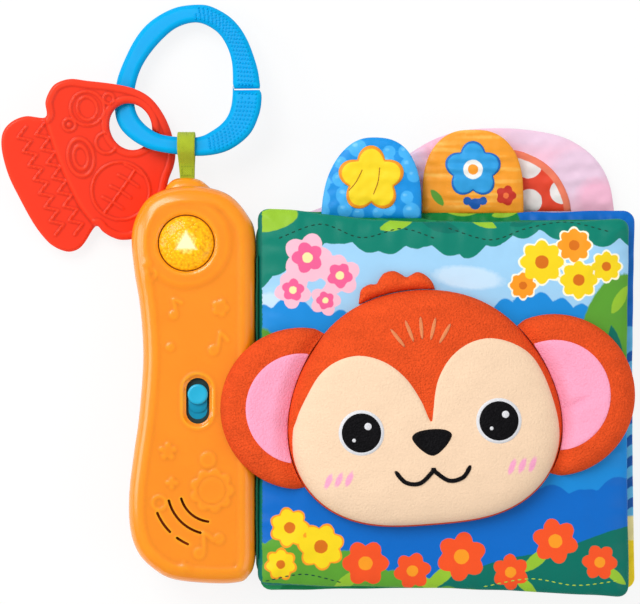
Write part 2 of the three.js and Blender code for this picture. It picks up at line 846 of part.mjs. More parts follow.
function switchKnob() {
  const plateTop = ceilingHeight - seatGap;
  const knobY = switchTop - slotSideGap - knobDiameter / 2;
  const tailY = switchTop - slotSideGap - knobTailLength / 2;
  const plate = block(
    switchX - knobPlateWidth / 2,
    tailY - knobPlateLength / 2,
    plateTop - knobPlateThickness,
    switchX + knobPlateWidth / 2,
    tailY + knobPlateLength / 2,
    plateTop,
  );
  const tail = prism(
    stadium(switchX, tailY, knobDiameter, knobTailLength),
    plateTop - knobPlateThickness / 2,
    faceHeight - slotRecessDepth - seatGap,
  );
  const knob = prism(circle(switchX, knobY, knobDiameter, 20), plateTop - knobPlateThickness / 2, faceHeight);
  return join(plate, tail, knob);
}

function slideSwitch() {
  const top = ceilingHeight - knobPlateThickness - seatGap * 2;
  const y = switchTop - slotLength / 2;
  return block(
    switchX - switchBodyWidth / 2,
    y - switchBodyLength / 2,
    boardHeight + boardThickness + seatGap,
    switchX + switchBodyWidth / 2,
    y + switchBodyLength / 2,
    top,
  );
}

function speaker() {
  const top = ceilingHeight - seatGap;
  const radius = speakerDiameter / 2;
  const { back, rim, cone, middle, lip } = speakerProfileShares;
  const profile = [
    new THREE.Vector2(0, top - speakerDepth),
    new THREE.Vector2(speakerMagnet / 2, top - speakerDepth),
    new THREE.Vector2(speakerMagnet / 2, top - speakerDepth * back),
    new THREE.Vector2(radius, top - speakerDepth * rim),
    new THREE.Vector2(radius, top),
    new THREE.Vector2(radius * lip, top),
    new THREE.Vector2(speakerMagnet / 2, top - speakerDepth * cone),
    new THREE.Vector2(0, top - speakerDepth * middle),
  ];
  const geometry = new THREE.LatheGeometry(profile, 20);
  geometry.rotateX(Math.PI / 2);
  geometry.translate(speakerX, speakerY, 0);
  return geometry;
}

function battery(side) {
  const radius = batteryDiameter / 2;
  const nub = radius * batteryNubShare;
  const profile = [
    new THREE.Vector2(0, -batteryLength / 2),
    new THREE.Vector2(radius, -batteryLength / 2),
    new THREE.Vector2(radius, batteryLength / 2 - nub),
    new THREE.Vector2(nub, batteryLength / 2 - nub),
    new THREE.Vector2(nub, batteryLength / 2),
    new THREE.Vector2(0, batteryLength / 2),
  ];
  const geometry = new THREE.LatheGeometry(profile, 14);
  if (side > 0) geometry.rotateZ(Math.PI);
  geometry.translate(side * batteryPitch / 2, bayY, doorThickness + seatGap * 2 + radius);
  return geometry;
}

function batteryContact(end) {
  const low = doorThickness + seatGap * 2;
  const y = bayY + end * (batteryLength / 2 + seatGap + contactThickness / 2);
  const half = batteryPitch / 2 + batteryDiameter * 0.35;
  return block(-half, y - contactThickness / 2, low, half, y + contactThickness / 2, low + contactHeight);
}

// Spine cloth: a tongue clamped in the handle's right wall and a web that the leaves hang from.
function spineWeb() {
  const half = spineThickness / 2;
  const web = block(
    wallX,
    spineBottom,
    seatGap,
    wallX + spineThickness,
    spineTop,
    faceHeight - handleFrontRound * 0.5,
  );
  const tongue = block(
    halfWidth - handleWall - spineTongue,
    spineBottom + handleWall,
    partingHeight - half,
    wallX + half,
    spineTop - handleWall,
    partingHeight + half,
  );
  return join(web, tongue);
}

function spineClampBar() {
  const top = partingHeight - spineThickness / 2 - seatGap;
  const right = halfWidth - handleWall - seatGap * 3;
  return block(
    right - clampBarWidth,
    spineBottom + handleRearRound * 2,
    top - clampBarThickness,
    right,
    spineTop - handleRearRound,
    top,
  );
}

// Ribbon: a folded tape that loops round the ring; its sewn end is held in the handle.
function ribbonLoop() {
  const outer = ribbonRun + ribbonThickness;
  const shape = new THREE.Shape();
  const start = halfLength - handleWall * 2 + seatGap;
  const thin = ribbonThickness;
  const reach = Math.acos(thin / outer);
  shape.moveTo(start, -thin);
  shape.lineTo(ringPivotY - outer * 1.2, -thin);
  shape.absarc(ringPivotY, 0, outer, Math.PI + reach * 0.62, Math.PI * 3 - reach * 0.62, false);
  shape.lineTo(ringPivotY - outer * 1.2, thin);
  shape.lineTo(start, thin);
  const hole = new THREE.Path();
  hole.absarc(ringPivotY, 0, ribbonRun, 0, Math.PI * 2, true);
  shape.holes.push(hole);
  const tape = new THREE.ExtrudeGeometry(shape, {
    depth: ribbonWidth,
    bevelEnabled: false,
    curveSegments: 14,
  });
  const turn = new THREE.Matrix4().makeBasis(
    new THREE.Vector3(0, 1, 0),
    new THREE.Vector3(0, 0, 1),
    new THREE.Vector3(1, 0, 0),
  );
  tape.applyMatrix4(turn);
  tape.translate(ribbonX - ribbonWidth / 2, 0, partingHeight);
  const anchorHalf = ribbonThickness * 1.6;
  const anchor = block(
    ribbonX - ribbonWidth / 2,
    start - ribbonAnchor,
    partingHeight - anchorHalf,
    ribbonX + ribbonWidth / 2,
    start + ribbonThickness,
    partingHeight + anchorHalf,
  );
  return join(tape, anchor);
}

// Link ring

// Where a ray from the centre at an angle meets a closed outline.
function reachAt(outline, angle) {
  const direction = new THREE.Vector2(Math.cos(angle), Math.sin(angle));
  let found = 0;
  outline.forEach((a, i) => {
    const b = outline[(i + 1) % outline.length];
    const edge = new THREE.Vector2().subVectors(b, a);
    const spread = direction.x * edge.y - direction.y * edge.x;
    if (Math.abs(spread) < Number.EPSILON) return;
    const along = (a.x * edge.y - a.y * edge.x) / spread;
    const share = (a.x * direction.y - a.y * direction.x) / spread;
    if (along > 0 && share >= 0 && share < 1) found = Math.max(found, along);
  });
  return found;
}

const ringBandY = 0.872 * ringHeight / 2;
const ringX = ribbonX + 0.02 * ringWidth / 2;
const ringY = ringPivotY + ringBandY;

// Tips a flat piece about a point so that it climbs by the given amounts for each unit along X and Y.
function tip(geometry, x, y, z, climbX, climbY) {
  const normal = new THREE.Vector3(-climbX, -climbY, 1).normalize();
  const turn = new THREE.Quaternion().setFromUnitVectors(new THREE.Vector3(0, 0, 1), normal);
  geometry.translate(-x, -y, 0);
  geometry.applyQuaternion(turn);
  geometry.translate(x, y, z);
  return geometry;
}

// The ring before its split is cut, grown by a clearance.
function ringBand(growth) {
  const steps = 44;
  const outer = smoothClosed(fromShares(ringOuterShares, ringWidth / 2, ringHeight / 2), steps * 4);
  const inner = smoothClosed(fromShares(ringInnerShares, ringWidth / 2, ringHeight / 2), steps * 4);
  const half = ringThickness / 2 + growth;
  const section = [
    [outer, growth, -half + ringChamfer],
    [outer, growth, half - ringChamfer],
    [outer, growth - ringChamfer, half],
    [inner, ringChamfer - growth, half],
    [inner, -growth, half - ringChamfer],
    [inner, -growth, -half + ringChamfer],
    [inner, ringChamfer - growth, -half],
    [outer, growth - ringChamfer, -half],
  ];
  const rings = section.map(([outline, shift, height]) => {
    const ring = [];
    for (let i = 0; i < steps; i += 1) {
      const angle = (i / steps) * Math.PI * 2;
      const reach = reachAt(outline, angle) + shift;
      ring.push([ringX + Math.cos(angle) * reach, ringY + Math.sin(angle) * reach, height]);
    }
    return ring;
  });
  return skin(rings, true);
}

function tipRing(geometry) {
  return tip(geometry, ribbonX, ringPivotY, partingHeight, ringFallXShare, ringFallYShare);
}

function linkRing() {
  const splitY = ringY - ringHeight * 0.065;
  const split = block(
    ringX + ringWidth * 0.25,
    splitY - ringSplit / 2,
    -ringThickness,
    ringX + ringWidth,
    splitY + ringSplit / 2,
    ringThickness,
  );
  return tipRing(cut(ringBand(0), split));
}

// The teether's plane and the ring's plane cross in the middle of the hole; the soft rim gives way
// by the link gap where the ring passes over and under it.
const teetherPlaneHeight = partingHeight + crossingLift
  + (crossingX - ribbonX) * ringFallXShare + (crossingY - ringPivotY) * ringFallYShare
  + (teetherX - crossingX) * teetherFallXShare + (teetherY - crossingY) * teetherFallYShare;

function teether() {
  const half = teetherSize / 2;
  const outline = smoothClosed(fromShares(teetherOutlineShares, half, half, teetherX, teetherY), 56);
  const low = -teetherThickness / 2;
  const high = teetherThickness / 2;
  const plate = skin([
    ringAt(inset(outline, teetherRound), low),
    ringAt(outline, low + teetherRound),
    ringAt(outline, high - teetherRound),
    ringAt(inset(outline, teetherRound), high),
  ]);
  const turn = radians(teetherHoleTurn);
  const hole = circle(0, 0, 2, 22).map((p) => {
    const x = p.x * teetherHoleWidth / 2;
    const y = p.y * teetherHoleHeight / 2;
    return new THREE.Vector2(
      teetherHoleX + x * Math.cos(turn) - y * Math.sin(turn),
      teetherHoleY + x * Math.sin(turn) + y * Math.cos(turn),
    );
  });
  const pierced = cut(plate, prism(hole, low - cutOverrun, high + cutOverrun));
  tip(pierced, teetherX, teetherY, teetherPlaneHeight, teetherFallXShare, teetherFallYShare);
  return cut(pierced, handleEnvelope(teetherHandleGap), tipRing(ringBand(linkGap)));
}

// Leaves

// Layers of a padded leaf are the same profile drawn in by how deep each layer lies.
function leafRings(leaf, low, side, depth, share = 0) {
  const [cornerSteps, sideSteps] = share > 0 ? [2, 2] : [3, leafSideSteps];
  const outline = roundedRectangle(
    leafLeft,
    leafBottom,
    leafLeft + leaf.width,
    leaf.top,
    leafCorner,
    leafSideDraw,
    cornerSteps,
    sideSteps,
  );
  const centre = new THREE.Vector2(leafLeft + leaf.width / 2, (leafBottom + leaf.top) / 2);
  const halfX = leaf.width / 2;
  const halfY = (leaf.top - leafBottom) / 2;
  const seam = low + leaf.thickness / 2;
  return leafProfileShares.filter(([reach]) => reach >= share).map(([reach, rise]) => {
    const lift = Math.max(rise * leaf.thickness / 2 - depth, seatGap / 2);
    const ring = drawIn(outline, centre, halfX, halfY, leafCrownReach * reach + depth * 1.5);
    return ringAt(ring, seam + side * lift);
  });
}

// Layer between two depths on one side of the seam.
function leafLayer(leaf, low, side, depth, thickness, share = 0) {
  const outer = leafRings(leaf, low, side, depth, share);
  const inner = leafRings(leaf, low, side, depth + thickness, share);
  return side > 0 ? skin([...inner.reverse(), ...outer]) : skin([...outer.reverse(), ...inner]);
}

function addLeaf(leaf, low, frontFinish, backFinish) {
  const filmDepth = clothThickness + seatGap;
  const [share] = leafProfileShares[1];
  const upper = leafRings(leaf, low, 1, filmDepth + filmThickness + seatGap, share);
  const lower = leafRings(leaf, low, -1, clothThickness + seatGap, share);
  add(`${leaf.name}_front_cloth`, leafLayer(leaf, low, 1, 0, clothThickness), frontFinish);
  add(`${leaf.name}_crinkle_film`, leafLayer(leaf, low, 1, filmDepth, filmThickness, share), 'film');
  add(`${leaf.name}_wadding`, skin([...lower.reverse(), ...upper]), 'wadding');
  add(`${leaf.name}_back_cloth`, leafLayer(leaf, low, -1, 0, clothThickness), backFinish);
}

const leafLows = new Map();
leaves.reduce((low, leaf) => {
  leafLows.set(leaf, low);
  return low + leaf.thickness + seatGap;
}, 0);

// Pads with a crown, as functions of how much they are grown; patches are cut from two growths.

function centreOf(outline) {
  const sum = outline.reduce((total, p) => total.add(p), new THREE.Vector2());
  return sum.divideScalar(outline.length);
}

function crownedPad(outline, centre, low, edge, crown, profile) {
  const reach = Math.min(...outline.map((p) => p.distanceTo(centre)));
  return (growth, floor = low) => {
    const grown = drawIn(outline, centre, reach, reach, -growth);
    const rings = profile.map(([share, rise]) => ringAt(
      grown.map((p) => new THREE.Vector2(
        centre.x + (p.x - centre.x) * share,
        centre.y + (p.y - centre.y) * share,
      )),
      low + edge + crown * rise + growth,
    ));
    return skin([ringAt(grown, floor), ...rings]);
  };
}

// Thin patch that follows a pad's crown.
function patchOn(pad, outline, depth, thickness) {
  const below = -cutOverrun * 3;
  const layer = cut(pad(depth + thickness, below), pad(depth, below - cutOverrun));
  return common(prism(outline, 0, faceHeight * 2), layer);
}

// How far the top edge of a leaf is drawn in at a place along it.
function topEdgeDraw(leaf, x) {
  const along = (x - leafLeft - leafCorner) / (leaf.width - leafCorner * 2);
  const step = Math.max(0, Math.min(1, along)) * leafSideSteps;
  const low = Math.floor(step);
  const drawAt = (index) => leafSideDraw * Math.sin((index / leafSideSteps) * Math.PI);
  return drawAt(low) + (drawAt(low + 1) - drawAt(low)) * (step - low);
}

// Tab: a crowned pad that meets the top seam of its leaf.
function tabPad(leaf, shares, x, width, height) {
  const seam = leafLows.get(leaf) + leaf.thickness / 2;
  const draw = Math.min(topEdgeDraw(leaf, x - width / 2), topEdgeDraw(leaf, x + width / 2));
  const base = leaf.top + seatGap - draw;
  const points = fromShares(shares, width / 2, height, x, base);
  const centre = new THREE.Vector2(x + width * 0.02, base + height * 0.3);
  const low = seam - tabThickness / 2;
  return crownedPad(points, centre, low, tabThickness / 2, tabThickness / 2, tabProfileShares);
}

function addTabs() {
  const blueTab = tabPad(secondLeaf, domeOutlineShares, blueTabX, blueTabWidth, blueTabHeight);
  add('blue_tab', blueTab(0), 'blue');
  const blueMotif = circle(blueTabX, secondLeaf.top + blueTabHeight * motifRiseShare, motifSize, 20);
  add('blue_tab_patch', patchOn(blueTab, blueMotif, seatGap, patchThickness), 'yellow');
  const orangeTab = tabPad(thirdLeaf, domeOutlineShares, orangeTabX, orangeTabWidth, orangeTabHeight);
  add('orange_tab', orangeTab(0), 'streak');
  const orangeMotif = circle(orangeTabX, thirdLeaf.top + orangeTabHeight * motifRiseShare, motifSize, 20);
  add('orange_tab_patch', patchOn(orangeTab, orangeMotif, seatGap, patchThickness), 'blue');
  const pinkDome = tabPad(backLeaf, pinkOutlineShares, pinkDomeX, pinkDomeWidth, pinkDomeHeight);
  add('pink_dome', pinkDome(0), 'pink');
  const base = backLeaf.top + seatGap * 2;
  const patchY = backLeaf.top - dotPatchDrop;
  const dotPatch = circle(dotPatchX, patchY, dotPatchRadius * 2, 32).filter((p) => p.y > base);
  dotPatch.push(new THREE.Vector2(dotPatchX - dotPatchRadius, base));
  dotPatch.push(new THREE.Vector2(dotPatchX + dotPatchRadius, base));
  dotPatch.sort((a, b) => Math.atan2(a.y - base + seatGap, a.x - dotPatchX)
    - Math.atan2(b.y - base + seatGap, b.x - dotPatchX));
  add('dot_patch', patchOn(pinkDome, dotPatch, seatGap, patchThickness), 'patch');
}

// Head and ears

function headOutline() {
  const points = [];
  const steps = 40;
  for (let i = 0; i < steps; i += 1) {
    const angle = (i / steps) * Math.PI * 2;
    const reach = headRadius * (1 - headWaveShares.crown * Math.sin(angle)
      + headWaveShares.width * Math.cos(2 * angle) - headWaveShares.jowls * Math.sin(3 * angle)
      - headWaveShares.corners * Math.cos(4 * angle));
    const turned = angle + radians(headTilt);
    points.push(new THREE.Vector2(headX + Math.cos(turned) * reach, headY + Math.sin(turned) * reach));
  }
  return points;
}

const headPad = crownedPad(
  headOutline(),
  new THREE.Vector2(headX, headY),
  coverTop,
  headEdge,
  headCrown - headEdge,
  headProfileShares,
);

function earPad(x, y) {
  const outline = circle(x, y, earRadius * 2, 28);
  const centre = new THREE.Vector2(x, y);
  const edge = earThickness * 0.3;
  return crownedPad(outline, centre, coverTop, edge, earThickness - edge, earProfileShares);
}

// One ear, split at its fold into the flap and the root beside the head.
function addEar(side, x, y, fold) {
  const pad = earPad(x, y);
  const far = x + Math.sign(fold - headX) * earRadius * 2;
  const gap = Math.sign(fold - headX) * seatGap / 2;
  const low = coverTop - cutOverrun;
  const high = earTop + cutOverrun * 3;
  const beyond = (start, end) => block(
    Math.min(start, end),
    y - earRadius * 2,
    low,
    Math.max(start, end),
    y + earRadius * 2,
    high,
  );
  const head = headPad(seatGap, low);
  const flapSide = beyond(fold + gap, far);
  add(`${side}_ear`, cut(common(pad(0), flapSide), head), 'rust');
  add(`${side}_ear_root`, cut(common(pad(0), beyond(headX, fold - gap)), head), 'rust');
  const lining = circle(x, y, earRadius * 2 * earLiningShare, 24);
  const whole = patchOn(pad, lining, seatGap, patchThickness);
  add(`${side}_ear_lining`, cut(common(whole, flapSide), headPad(seatGap * 2, low)), 'lining');
}

function ellipse(x, y, width, height, turn, count = 20) {
  const tilt = radians(turn);
  return circle(0, 0, 2, count).map((p) => new THREE.Vector2(
    x + p.x * width / 2 * Math.cos(tilt) - p.y * height / 2 * Math.sin(tilt),
    y + p.x * width / 2 * Math.sin(tilt) + p.y * height / 2 * Math.cos(tilt),
  ));
}

function addHead() {
  const low = coverTop - cutOverrun;
  const fill = -plushThickness - seatGap;
  add('head_plush', cut(headPad(0), headPad(-plushThickness, low)), 'rust');
  add('head_wadding', headPad(fill, coverTop + seatGap), 'wadding');
  const mask = smoothClosed(fromShares(maskOutlineShares, maskSize, maskSize, maskX, maskY), 40);
  add('face_mask', patchOn(headPad, mask, seatGap, patchThickness), 'cream');
  const depth = seatGap * 2 + patchThickness;
  const patches = [
    ['left_eye', ellipse(leftEyeX, leftEyeY, eyeDiameter, eyeDiameter, 0), 'thread'],
    ['right_eye', ellipse(rightEyeX, rightEyeY, eyeDiameter, eyeDiameter, 0), 'thread'],
    ['nose', ellipse(noseX, noseY, noseWidth, noseHeight, headTilt), 'thread'],
  ];
  for (const [name, outline, finish] of patches) {
    add(name, patchOn(headPad, outline, depth, patchThickness), finish);
  }
  const tuftOutline = fromShares(tuftOutlineShares, tuftWidth / 2, tuftHeight, tuftX, tuftY);
  const tuft = crownedPad(
    tuftOutline,
    centreOf(tuftOutline),
    coverTop,
    tuftThickness * 0.35,
    tuftThickness * 0.65,
    tuftProfileShares,
  );
  add('head_tuft', cut(tuft(0), headPad(seatGap, low)), 'rust');
  addEar('left', leftEarX, leftEarY, leftEarFold);
  addEar('right', rightEarX, rightEarY, rightEarFold);
}

// Assembly

add('handle_front_shell', frontShell(), 'orange', true);
add('handle_rear_shell', rearShell(), 'orange', true);
add('battery_door', batteryDoor(), 'orange', true);
add('battery_door_screw', screw(
  0,
  doorScrewY,
  doorThickness / 2 - screwHeadHeight / 2,
  shellScrewHead,
  screwHeadHeight / 2 - seatGap / 2,
  pilotDiameter - seatGap,
  bossDiameter - handleWall,
), 'steel', true);
shellScrewPlaces.forEach(([x, y], index) => add(`shell_screw_${index + 1}`, screw(
  x,
  y,
  screwSink,
  shellScrewHead,
  screwHeadHeight - seatGap,
  shellScrewShank - seatGap,
  shellScrewLength,
), 'steel', true));
add('circuit_board', circuitBoard(), 'board', true);
add('lamp', lamp(), 'white', true);
add('press_switch', pressSwitch(), 'black', true);
add('slide_switch', slideSwitch(), 'black', true);
add('speaker', speaker(), 'black', true);
add('battery_1', battery(-1), 'steel', true);
add('battery_2', battery(1), 'steel', true);
add('upper_battery_contact', batteryContact(1), 'steel', true);
add('lower_battery_contact', batteryContact(-1), 'steel', true);
add('spine_clamp_bar', spineClampBar(), 'white', true);
add('spine_web', spineWeb(), 'green', true);
add('ribbon_loop', ribbonLoop(), 'lime', true);
add('light_button', lightButton(), 'amber', true);
add('switch_knob', switchKnob(), 'cyan', true);
add('link_ring', linkRing(), 'sky', true);
add('teether', teether(), 'red', true);
addLeaf(backLeaf, leafLows.get(backLeaf), 'pink', 'green');
addLeaf(thirdLeaf, leafLows.get(thirdLeaf), 'blue', 'green');
addLeaf(secondLeaf, leafLows.get(secondLeaf), 'green', 'blue');
addLeaf(frontCover, leafLows.get(frontCover), 'print', 'green');
addTabs();
addHead();

export default book;
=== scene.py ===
"""Dress the crinkle cloth book: padded cloth leaves with tabs, a plush head on the cover, a light and
sound handle along the spine, a link ring and a teether.

Every length is in millimetres and becomes metres when a mesh is made. X runs from the handle across
the leaves, Y up the page and Z out of the front cover.
"""
import logging
import math
from dataclasses import dataclass, field
from enum import Enum
from typing import Callable

import bmesh
import bpy
import numpy as np
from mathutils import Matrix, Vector
from mathutils.bvhtree import BVHTree
from mathutils.geometry import delaunay_2d_cdt


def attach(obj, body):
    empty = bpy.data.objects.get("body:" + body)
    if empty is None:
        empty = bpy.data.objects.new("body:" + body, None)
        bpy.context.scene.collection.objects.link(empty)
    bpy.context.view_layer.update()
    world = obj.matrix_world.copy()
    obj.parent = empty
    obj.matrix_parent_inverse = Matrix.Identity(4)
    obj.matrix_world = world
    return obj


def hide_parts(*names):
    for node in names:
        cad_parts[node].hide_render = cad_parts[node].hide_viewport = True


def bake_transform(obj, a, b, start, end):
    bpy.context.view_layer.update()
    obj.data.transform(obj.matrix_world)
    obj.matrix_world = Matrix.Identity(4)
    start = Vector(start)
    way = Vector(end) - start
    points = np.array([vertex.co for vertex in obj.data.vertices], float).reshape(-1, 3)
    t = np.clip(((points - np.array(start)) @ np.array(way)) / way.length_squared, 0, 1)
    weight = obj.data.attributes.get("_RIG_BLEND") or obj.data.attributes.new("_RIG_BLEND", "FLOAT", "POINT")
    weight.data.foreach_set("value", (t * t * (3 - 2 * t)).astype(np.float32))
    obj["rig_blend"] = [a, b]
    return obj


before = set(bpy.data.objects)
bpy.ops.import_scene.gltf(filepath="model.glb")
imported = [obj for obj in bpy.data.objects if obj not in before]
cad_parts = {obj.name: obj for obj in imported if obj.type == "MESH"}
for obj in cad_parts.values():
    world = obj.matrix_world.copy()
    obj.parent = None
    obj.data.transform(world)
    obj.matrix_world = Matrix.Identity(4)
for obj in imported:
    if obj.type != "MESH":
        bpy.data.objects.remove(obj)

MM = 0.001
POINTS_AT_ONCE = 3000
SWEEP_SIDES = 12
MERGE_WITHIN = 0.004
COLLAPSE_WITHIN = 0.001
RAY_START = 200.0
log = logging.getLogger("cloth_book")

Flat = np.ndarray
Skin = tuple[np.ndarray, list[tuple[int, ...]]]
Height = Callable[[np.ndarray, np.ndarray], np.ndarray]
Distance = Callable[[np.ndarray], np.ndarray]


# Curves and outlines

def ease(value: np.ndarray, start: float, end: float) -> np.ndarray:
    """Rise smoothly from 0 to 1 between two values."""
    share = np.clip((value - start) / (end - start), 0.0, 1.0)
    return share * share * (3.0 - 2.0 * share)


def spaced(points: np.ndarray, step: float, closed: bool = True) -> np.ndarray:
    """Place points evenly along a polyline.

    Args:
        points: Corners of the polyline.
        step: Wanted distance between the new points.
        closed: Whether the last corner joins the first.

    Returns:
        The evenly spaced points.
    """
    line = np.vstack([points, points[:1]]) if closed else np.asarray(points, float)
    along = np.concatenate([[0.0], np.cumsum(np.linalg.norm(np.diff(line, axis=0), axis=1))])
    count = max(6 if closed else 2, int(round(along[-1] / step)) + (0 if closed else 1))
    marks = np.linspace(0.0, along[-1], count, endpoint=not closed)
    return np.column_stack([np.interp(marks, along, line[:, axis]) for axis in range(line.shape[1])])


def smooth_curve(knots: np.ndarray, step: float, closed: bool = True) -> np.ndarray:
    """Lay an evenly spaced smooth curve through knots.

    Args:
        knots: Points that the curve passes.
        step: Distance between the points of the result.
        closed: Whether the curve is a loop.

    Returns:
        Points along the curve.
    """
    knots = np.asarray(knots, float)
    count = len(knots)
    share = np.linspace(0.0, 1.0, 16, endpoint=False)[:, None]
    runs = []
    for i in range(count if closed else count - 1):
        order = [(i + k) % count if closed else min(max(i + k, 0), count - 1) for k in (-1, 0, 1, 2)]
        a, b, c, d = knots[order]
        runs.append(b + 0.5 * share * (c - a + share * (2 * a - 5 * b + 4 * c - d
                                                        + share * (3 * (b - c) + d - a))))
    if not closed:
        runs.append(knots[-1:])
    return spaced(np.vstack(runs), step, closed)


def from_shares(shares: list, half_x: float, half_y: float, x: float, y: float, step: float) -> Flat:
    """Lay a smooth closed outline through shares of two half sizes about a centre."""
    return smooth_curve(np.array(shares) * (half_x, half_y) + (x, y), step)


def full_turn(count: int) -> np.ndarray:
    """Give evenly spaced angles all the way round, in radians."""
    return np.linspace(0.0, math.tau, count, endpoint=False)


def around(x: float, y: float, radius: float | np.ndarray, turn: np.ndarray) -> Flat:
    """Give points at angles and distances around a centre."""
    return np.column_stack([x + radius * np.cos(turn), y + radius * np.sin(turn)])


def circle(x: float, y: float, radius: float, step: float = 0.8) -> Flat:
    """Give the points of a circle, counter-clockwise."""
    return around(x, y, radius, full_turn(max(20, int(math.tau * radius / step))))


def at_height(flat: Flat, height: float) -> np.ndarray:
    """Lift flat points to one height."""
    return np.column_stack([flat, np.full(len(flat), height)])


def unit(vectors: np.ndarray) -> np.ndarray:
    """Scale each vector to a length of one."""
    return vectors / np.linalg.norm(vectors, axis=1)[:, None]


def left_of(along: Flat) -> Flat:
    """Turn flat directions a quarter turn to the left."""
    return np.column_stack([-along[:, 1], along[:, 0]])


def level_face(height: float) -> Height:
    """Give a face that lies level."""
    return lambda _, depth: np.full(len(depth), height)


def edge_round(depth: np.ndarray, radius: float, spare: float = 0.0) -> np.ndarray:
    """Give how high a quarter-round edge has risen at a distance from the outline."""
    return np.sqrt(radius ** 2 - np.clip(radius - depth, 0.0, radius - spare) ** 2)


def rounded(left: float, bottom: float, right: float, top: float, corner: float,
            draw: float = 0.0, step: float = 1.2) -> Flat:
    """Outline a rectangle with round corners and sides that draw in at their middles.

    Args:
        left: Left side.
        bottom: Bottom side.
        right: Right side.
        top: Top side.
        corner: Radius of the corners.
        draw: How far the middle of each side draws in.
        step: Distance between points.

    Returns:
        The outline, counter-clockwise.
    """
    parts = []
    for index, (x, y) in enumerate([(right - corner, bottom + corner), (right - corner, top - corner),
                                    (left + corner, top - corner), (left + corner, bottom + corner)]):
        parts.append(around(x, y, corner, np.radians(np.linspace(index * 90 - 90, index * 90, 10))))
    outline = spaced(np.vstack(parts), step)
    middle = np.array([(left + right) / 2, (bottom + top) / 2])
    half = np.array([(right - left) / 2, (top - bottom) / 2])
    share = np.clip((outline - middle) / half, -1, 1)
    pull = draw * np.cos(share[:, ::-1] * math.pi / 2) * share ** 7
    return outline - pull


def inset(outline: Flat, distance: float) -> Flat:
    """Move each point of an outline inwards, square to the outline there."""
    along = unit(np.roll(outline, -1, axis=0) - np.roll(outline, 1, axis=0))
    return outline + left_of(along) * distance


def edge_distance(points: Flat, outline: Flat, closed: bool = True) -> np.ndarray:
    """Measure how far points lie from a polyline.

    Args:
        points: Points to measure.
        outline: Corners of the polyline.
        closed: Whether its last corner joins the first.

    Returns:
        The distance of each point, never negative.
    """
    start = outline if closed else outline[:-1]
    span = (np.roll(outline, -1, axis=0) if closed else outline[1:]) - start
    length = np.maximum((span ** 2).sum(axis=1), 1e-12)
    best = np.empty(len(points))
    for low in range(0, len(points), POINTS_AT_ONCE):
        offset = points[low:low + POINTS_AT_ONCE, None] - start
        share = np.clip((offset * span).sum(axis=2) / length, 0.0, 1.0)
        best[low:low + POINTS_AT_ONCE] = (((offset - share[..., None] * span) ** 2).sum(axis=2)).min(axis=1)
    return np.sqrt(best)


def inside(points: Flat, outline: Flat) -> np.ndarray:
    """Tell which points lie within a closed outline.

    Args:
        points: Points to test.
        outline: Corners of the outline.

    Returns:
        True for each point within it.
    """
    x1, y1 = outline.T
    x2, y2 = np.roll(outline, -1, axis=0).T
    rise = np.where(y2 == y1, 1e-12, y2 - y1)
    found = np.empty(len(points), bool)
    for low in range(0, len(points), POINTS_AT_ONCE):
        x = points[low:low + POINTS_AT_ONCE, 0, None]
        y = points[low:low + POINTS_AT_ONCE, 1, None]
        crosses = ((y1 > y) != (y2 > y)) & (x < (x2 - x1) * (y - y1) / rise + x1)
        found[low:low + POINTS_AT_ONCE] = crosses.sum(axis=1) % 2 == 1
    return found


def ripple(flat: Flat, wavelength: float, seed: int) -> np.ndarray:
    """Give a smooth uneven field between about -1 and 1, the same on each run."""
    pick = np.random.default_rng(seed)
    total = np.zeros(len(flat))
    for _ in range(6):
        turn, phase, stretch = pick.uniform(0, math.tau), pick.uniform(0, math.tau), pick.uniform(0.7, 1.6)
        reach = flat @ np.array([math.cos(turn), math.sin(turn)])
        total += np.sin(reach * math.tau / (wavelength * stretch) + phase)
    return total / 3.2


# Signed distances of printed and raised figures, negative inside

def disc(x: float, y: float, radius: float) -> Distance:
    """Measure from a round spot."""
    return lambda flat: np.hypot(flat[:, 0] - x, flat[:, 1] - y) - radius


def turned(flat: Flat, x: float, y: float, degrees: float) -> tuple[np.ndarray, np.ndarray]:
    """Give coordinates along and across a direction, from a centre."""
    cos, sin = math.cos(math.radians(degrees)), math.sin(math.radians(degrees))
    dx, dy = flat[:, 0] - x, flat[:, 1] - y
    return dx * cos + dy * sin, dy * cos - dx * sin


def oval(x: float, y: float, half_x: float, half_y: float, degrees: float = 0.0) -> Distance:
    """Measure roughly from an ellipse."""
    def measure(flat: Flat) -> np.ndarray:
        """Measure each point."""
        along, across = turned(flat, x, y, degrees)
        return (np.hypot(along / half_x, across / half_y) - 1.0) * min(half_x, half_y)
    return measure


def blossom(x: float, y: float, radius: float, petals: int = 5, wave: float = 0.16,
            degrees: float = 0.0) -> Distance:
    """Measure roughly from a flower or star with round petals."""
    def measure(flat: Flat) -> np.ndarray:
        """Measure each point."""
        along, across = turned(flat, x, y, degrees)
        edge = 1.0 + wave * (2.0 * np.abs(np.cos(np.arctan2(across, along) * petals / 2)) - 1.2)
        return np.hypot(along, across) - radius * edge
    return measure


def leaflet(x: float, y: float, length: float, width: float, degrees: float) -> Distance:
    """Measure from a pointed leaf."""
    bow = (length ** 2 / 4 + width ** 2 / 4) / width

    def measure(flat: Flat) -> np.ndarray:
        """Measure each point."""
        along, across = turned(flat, x, y, degrees)
        return np.hypot(along, np.abs(across) + bow - width / 2) - bow
    return measure


def stroke(knots: list, width: float) -> Distance:
    """Measure from a smooth painted line."""
    line = smooth_curve(np.array(knots, float), 0.7, False)
    return lambda flat: edge_distance(flat, line, False) - width / 2


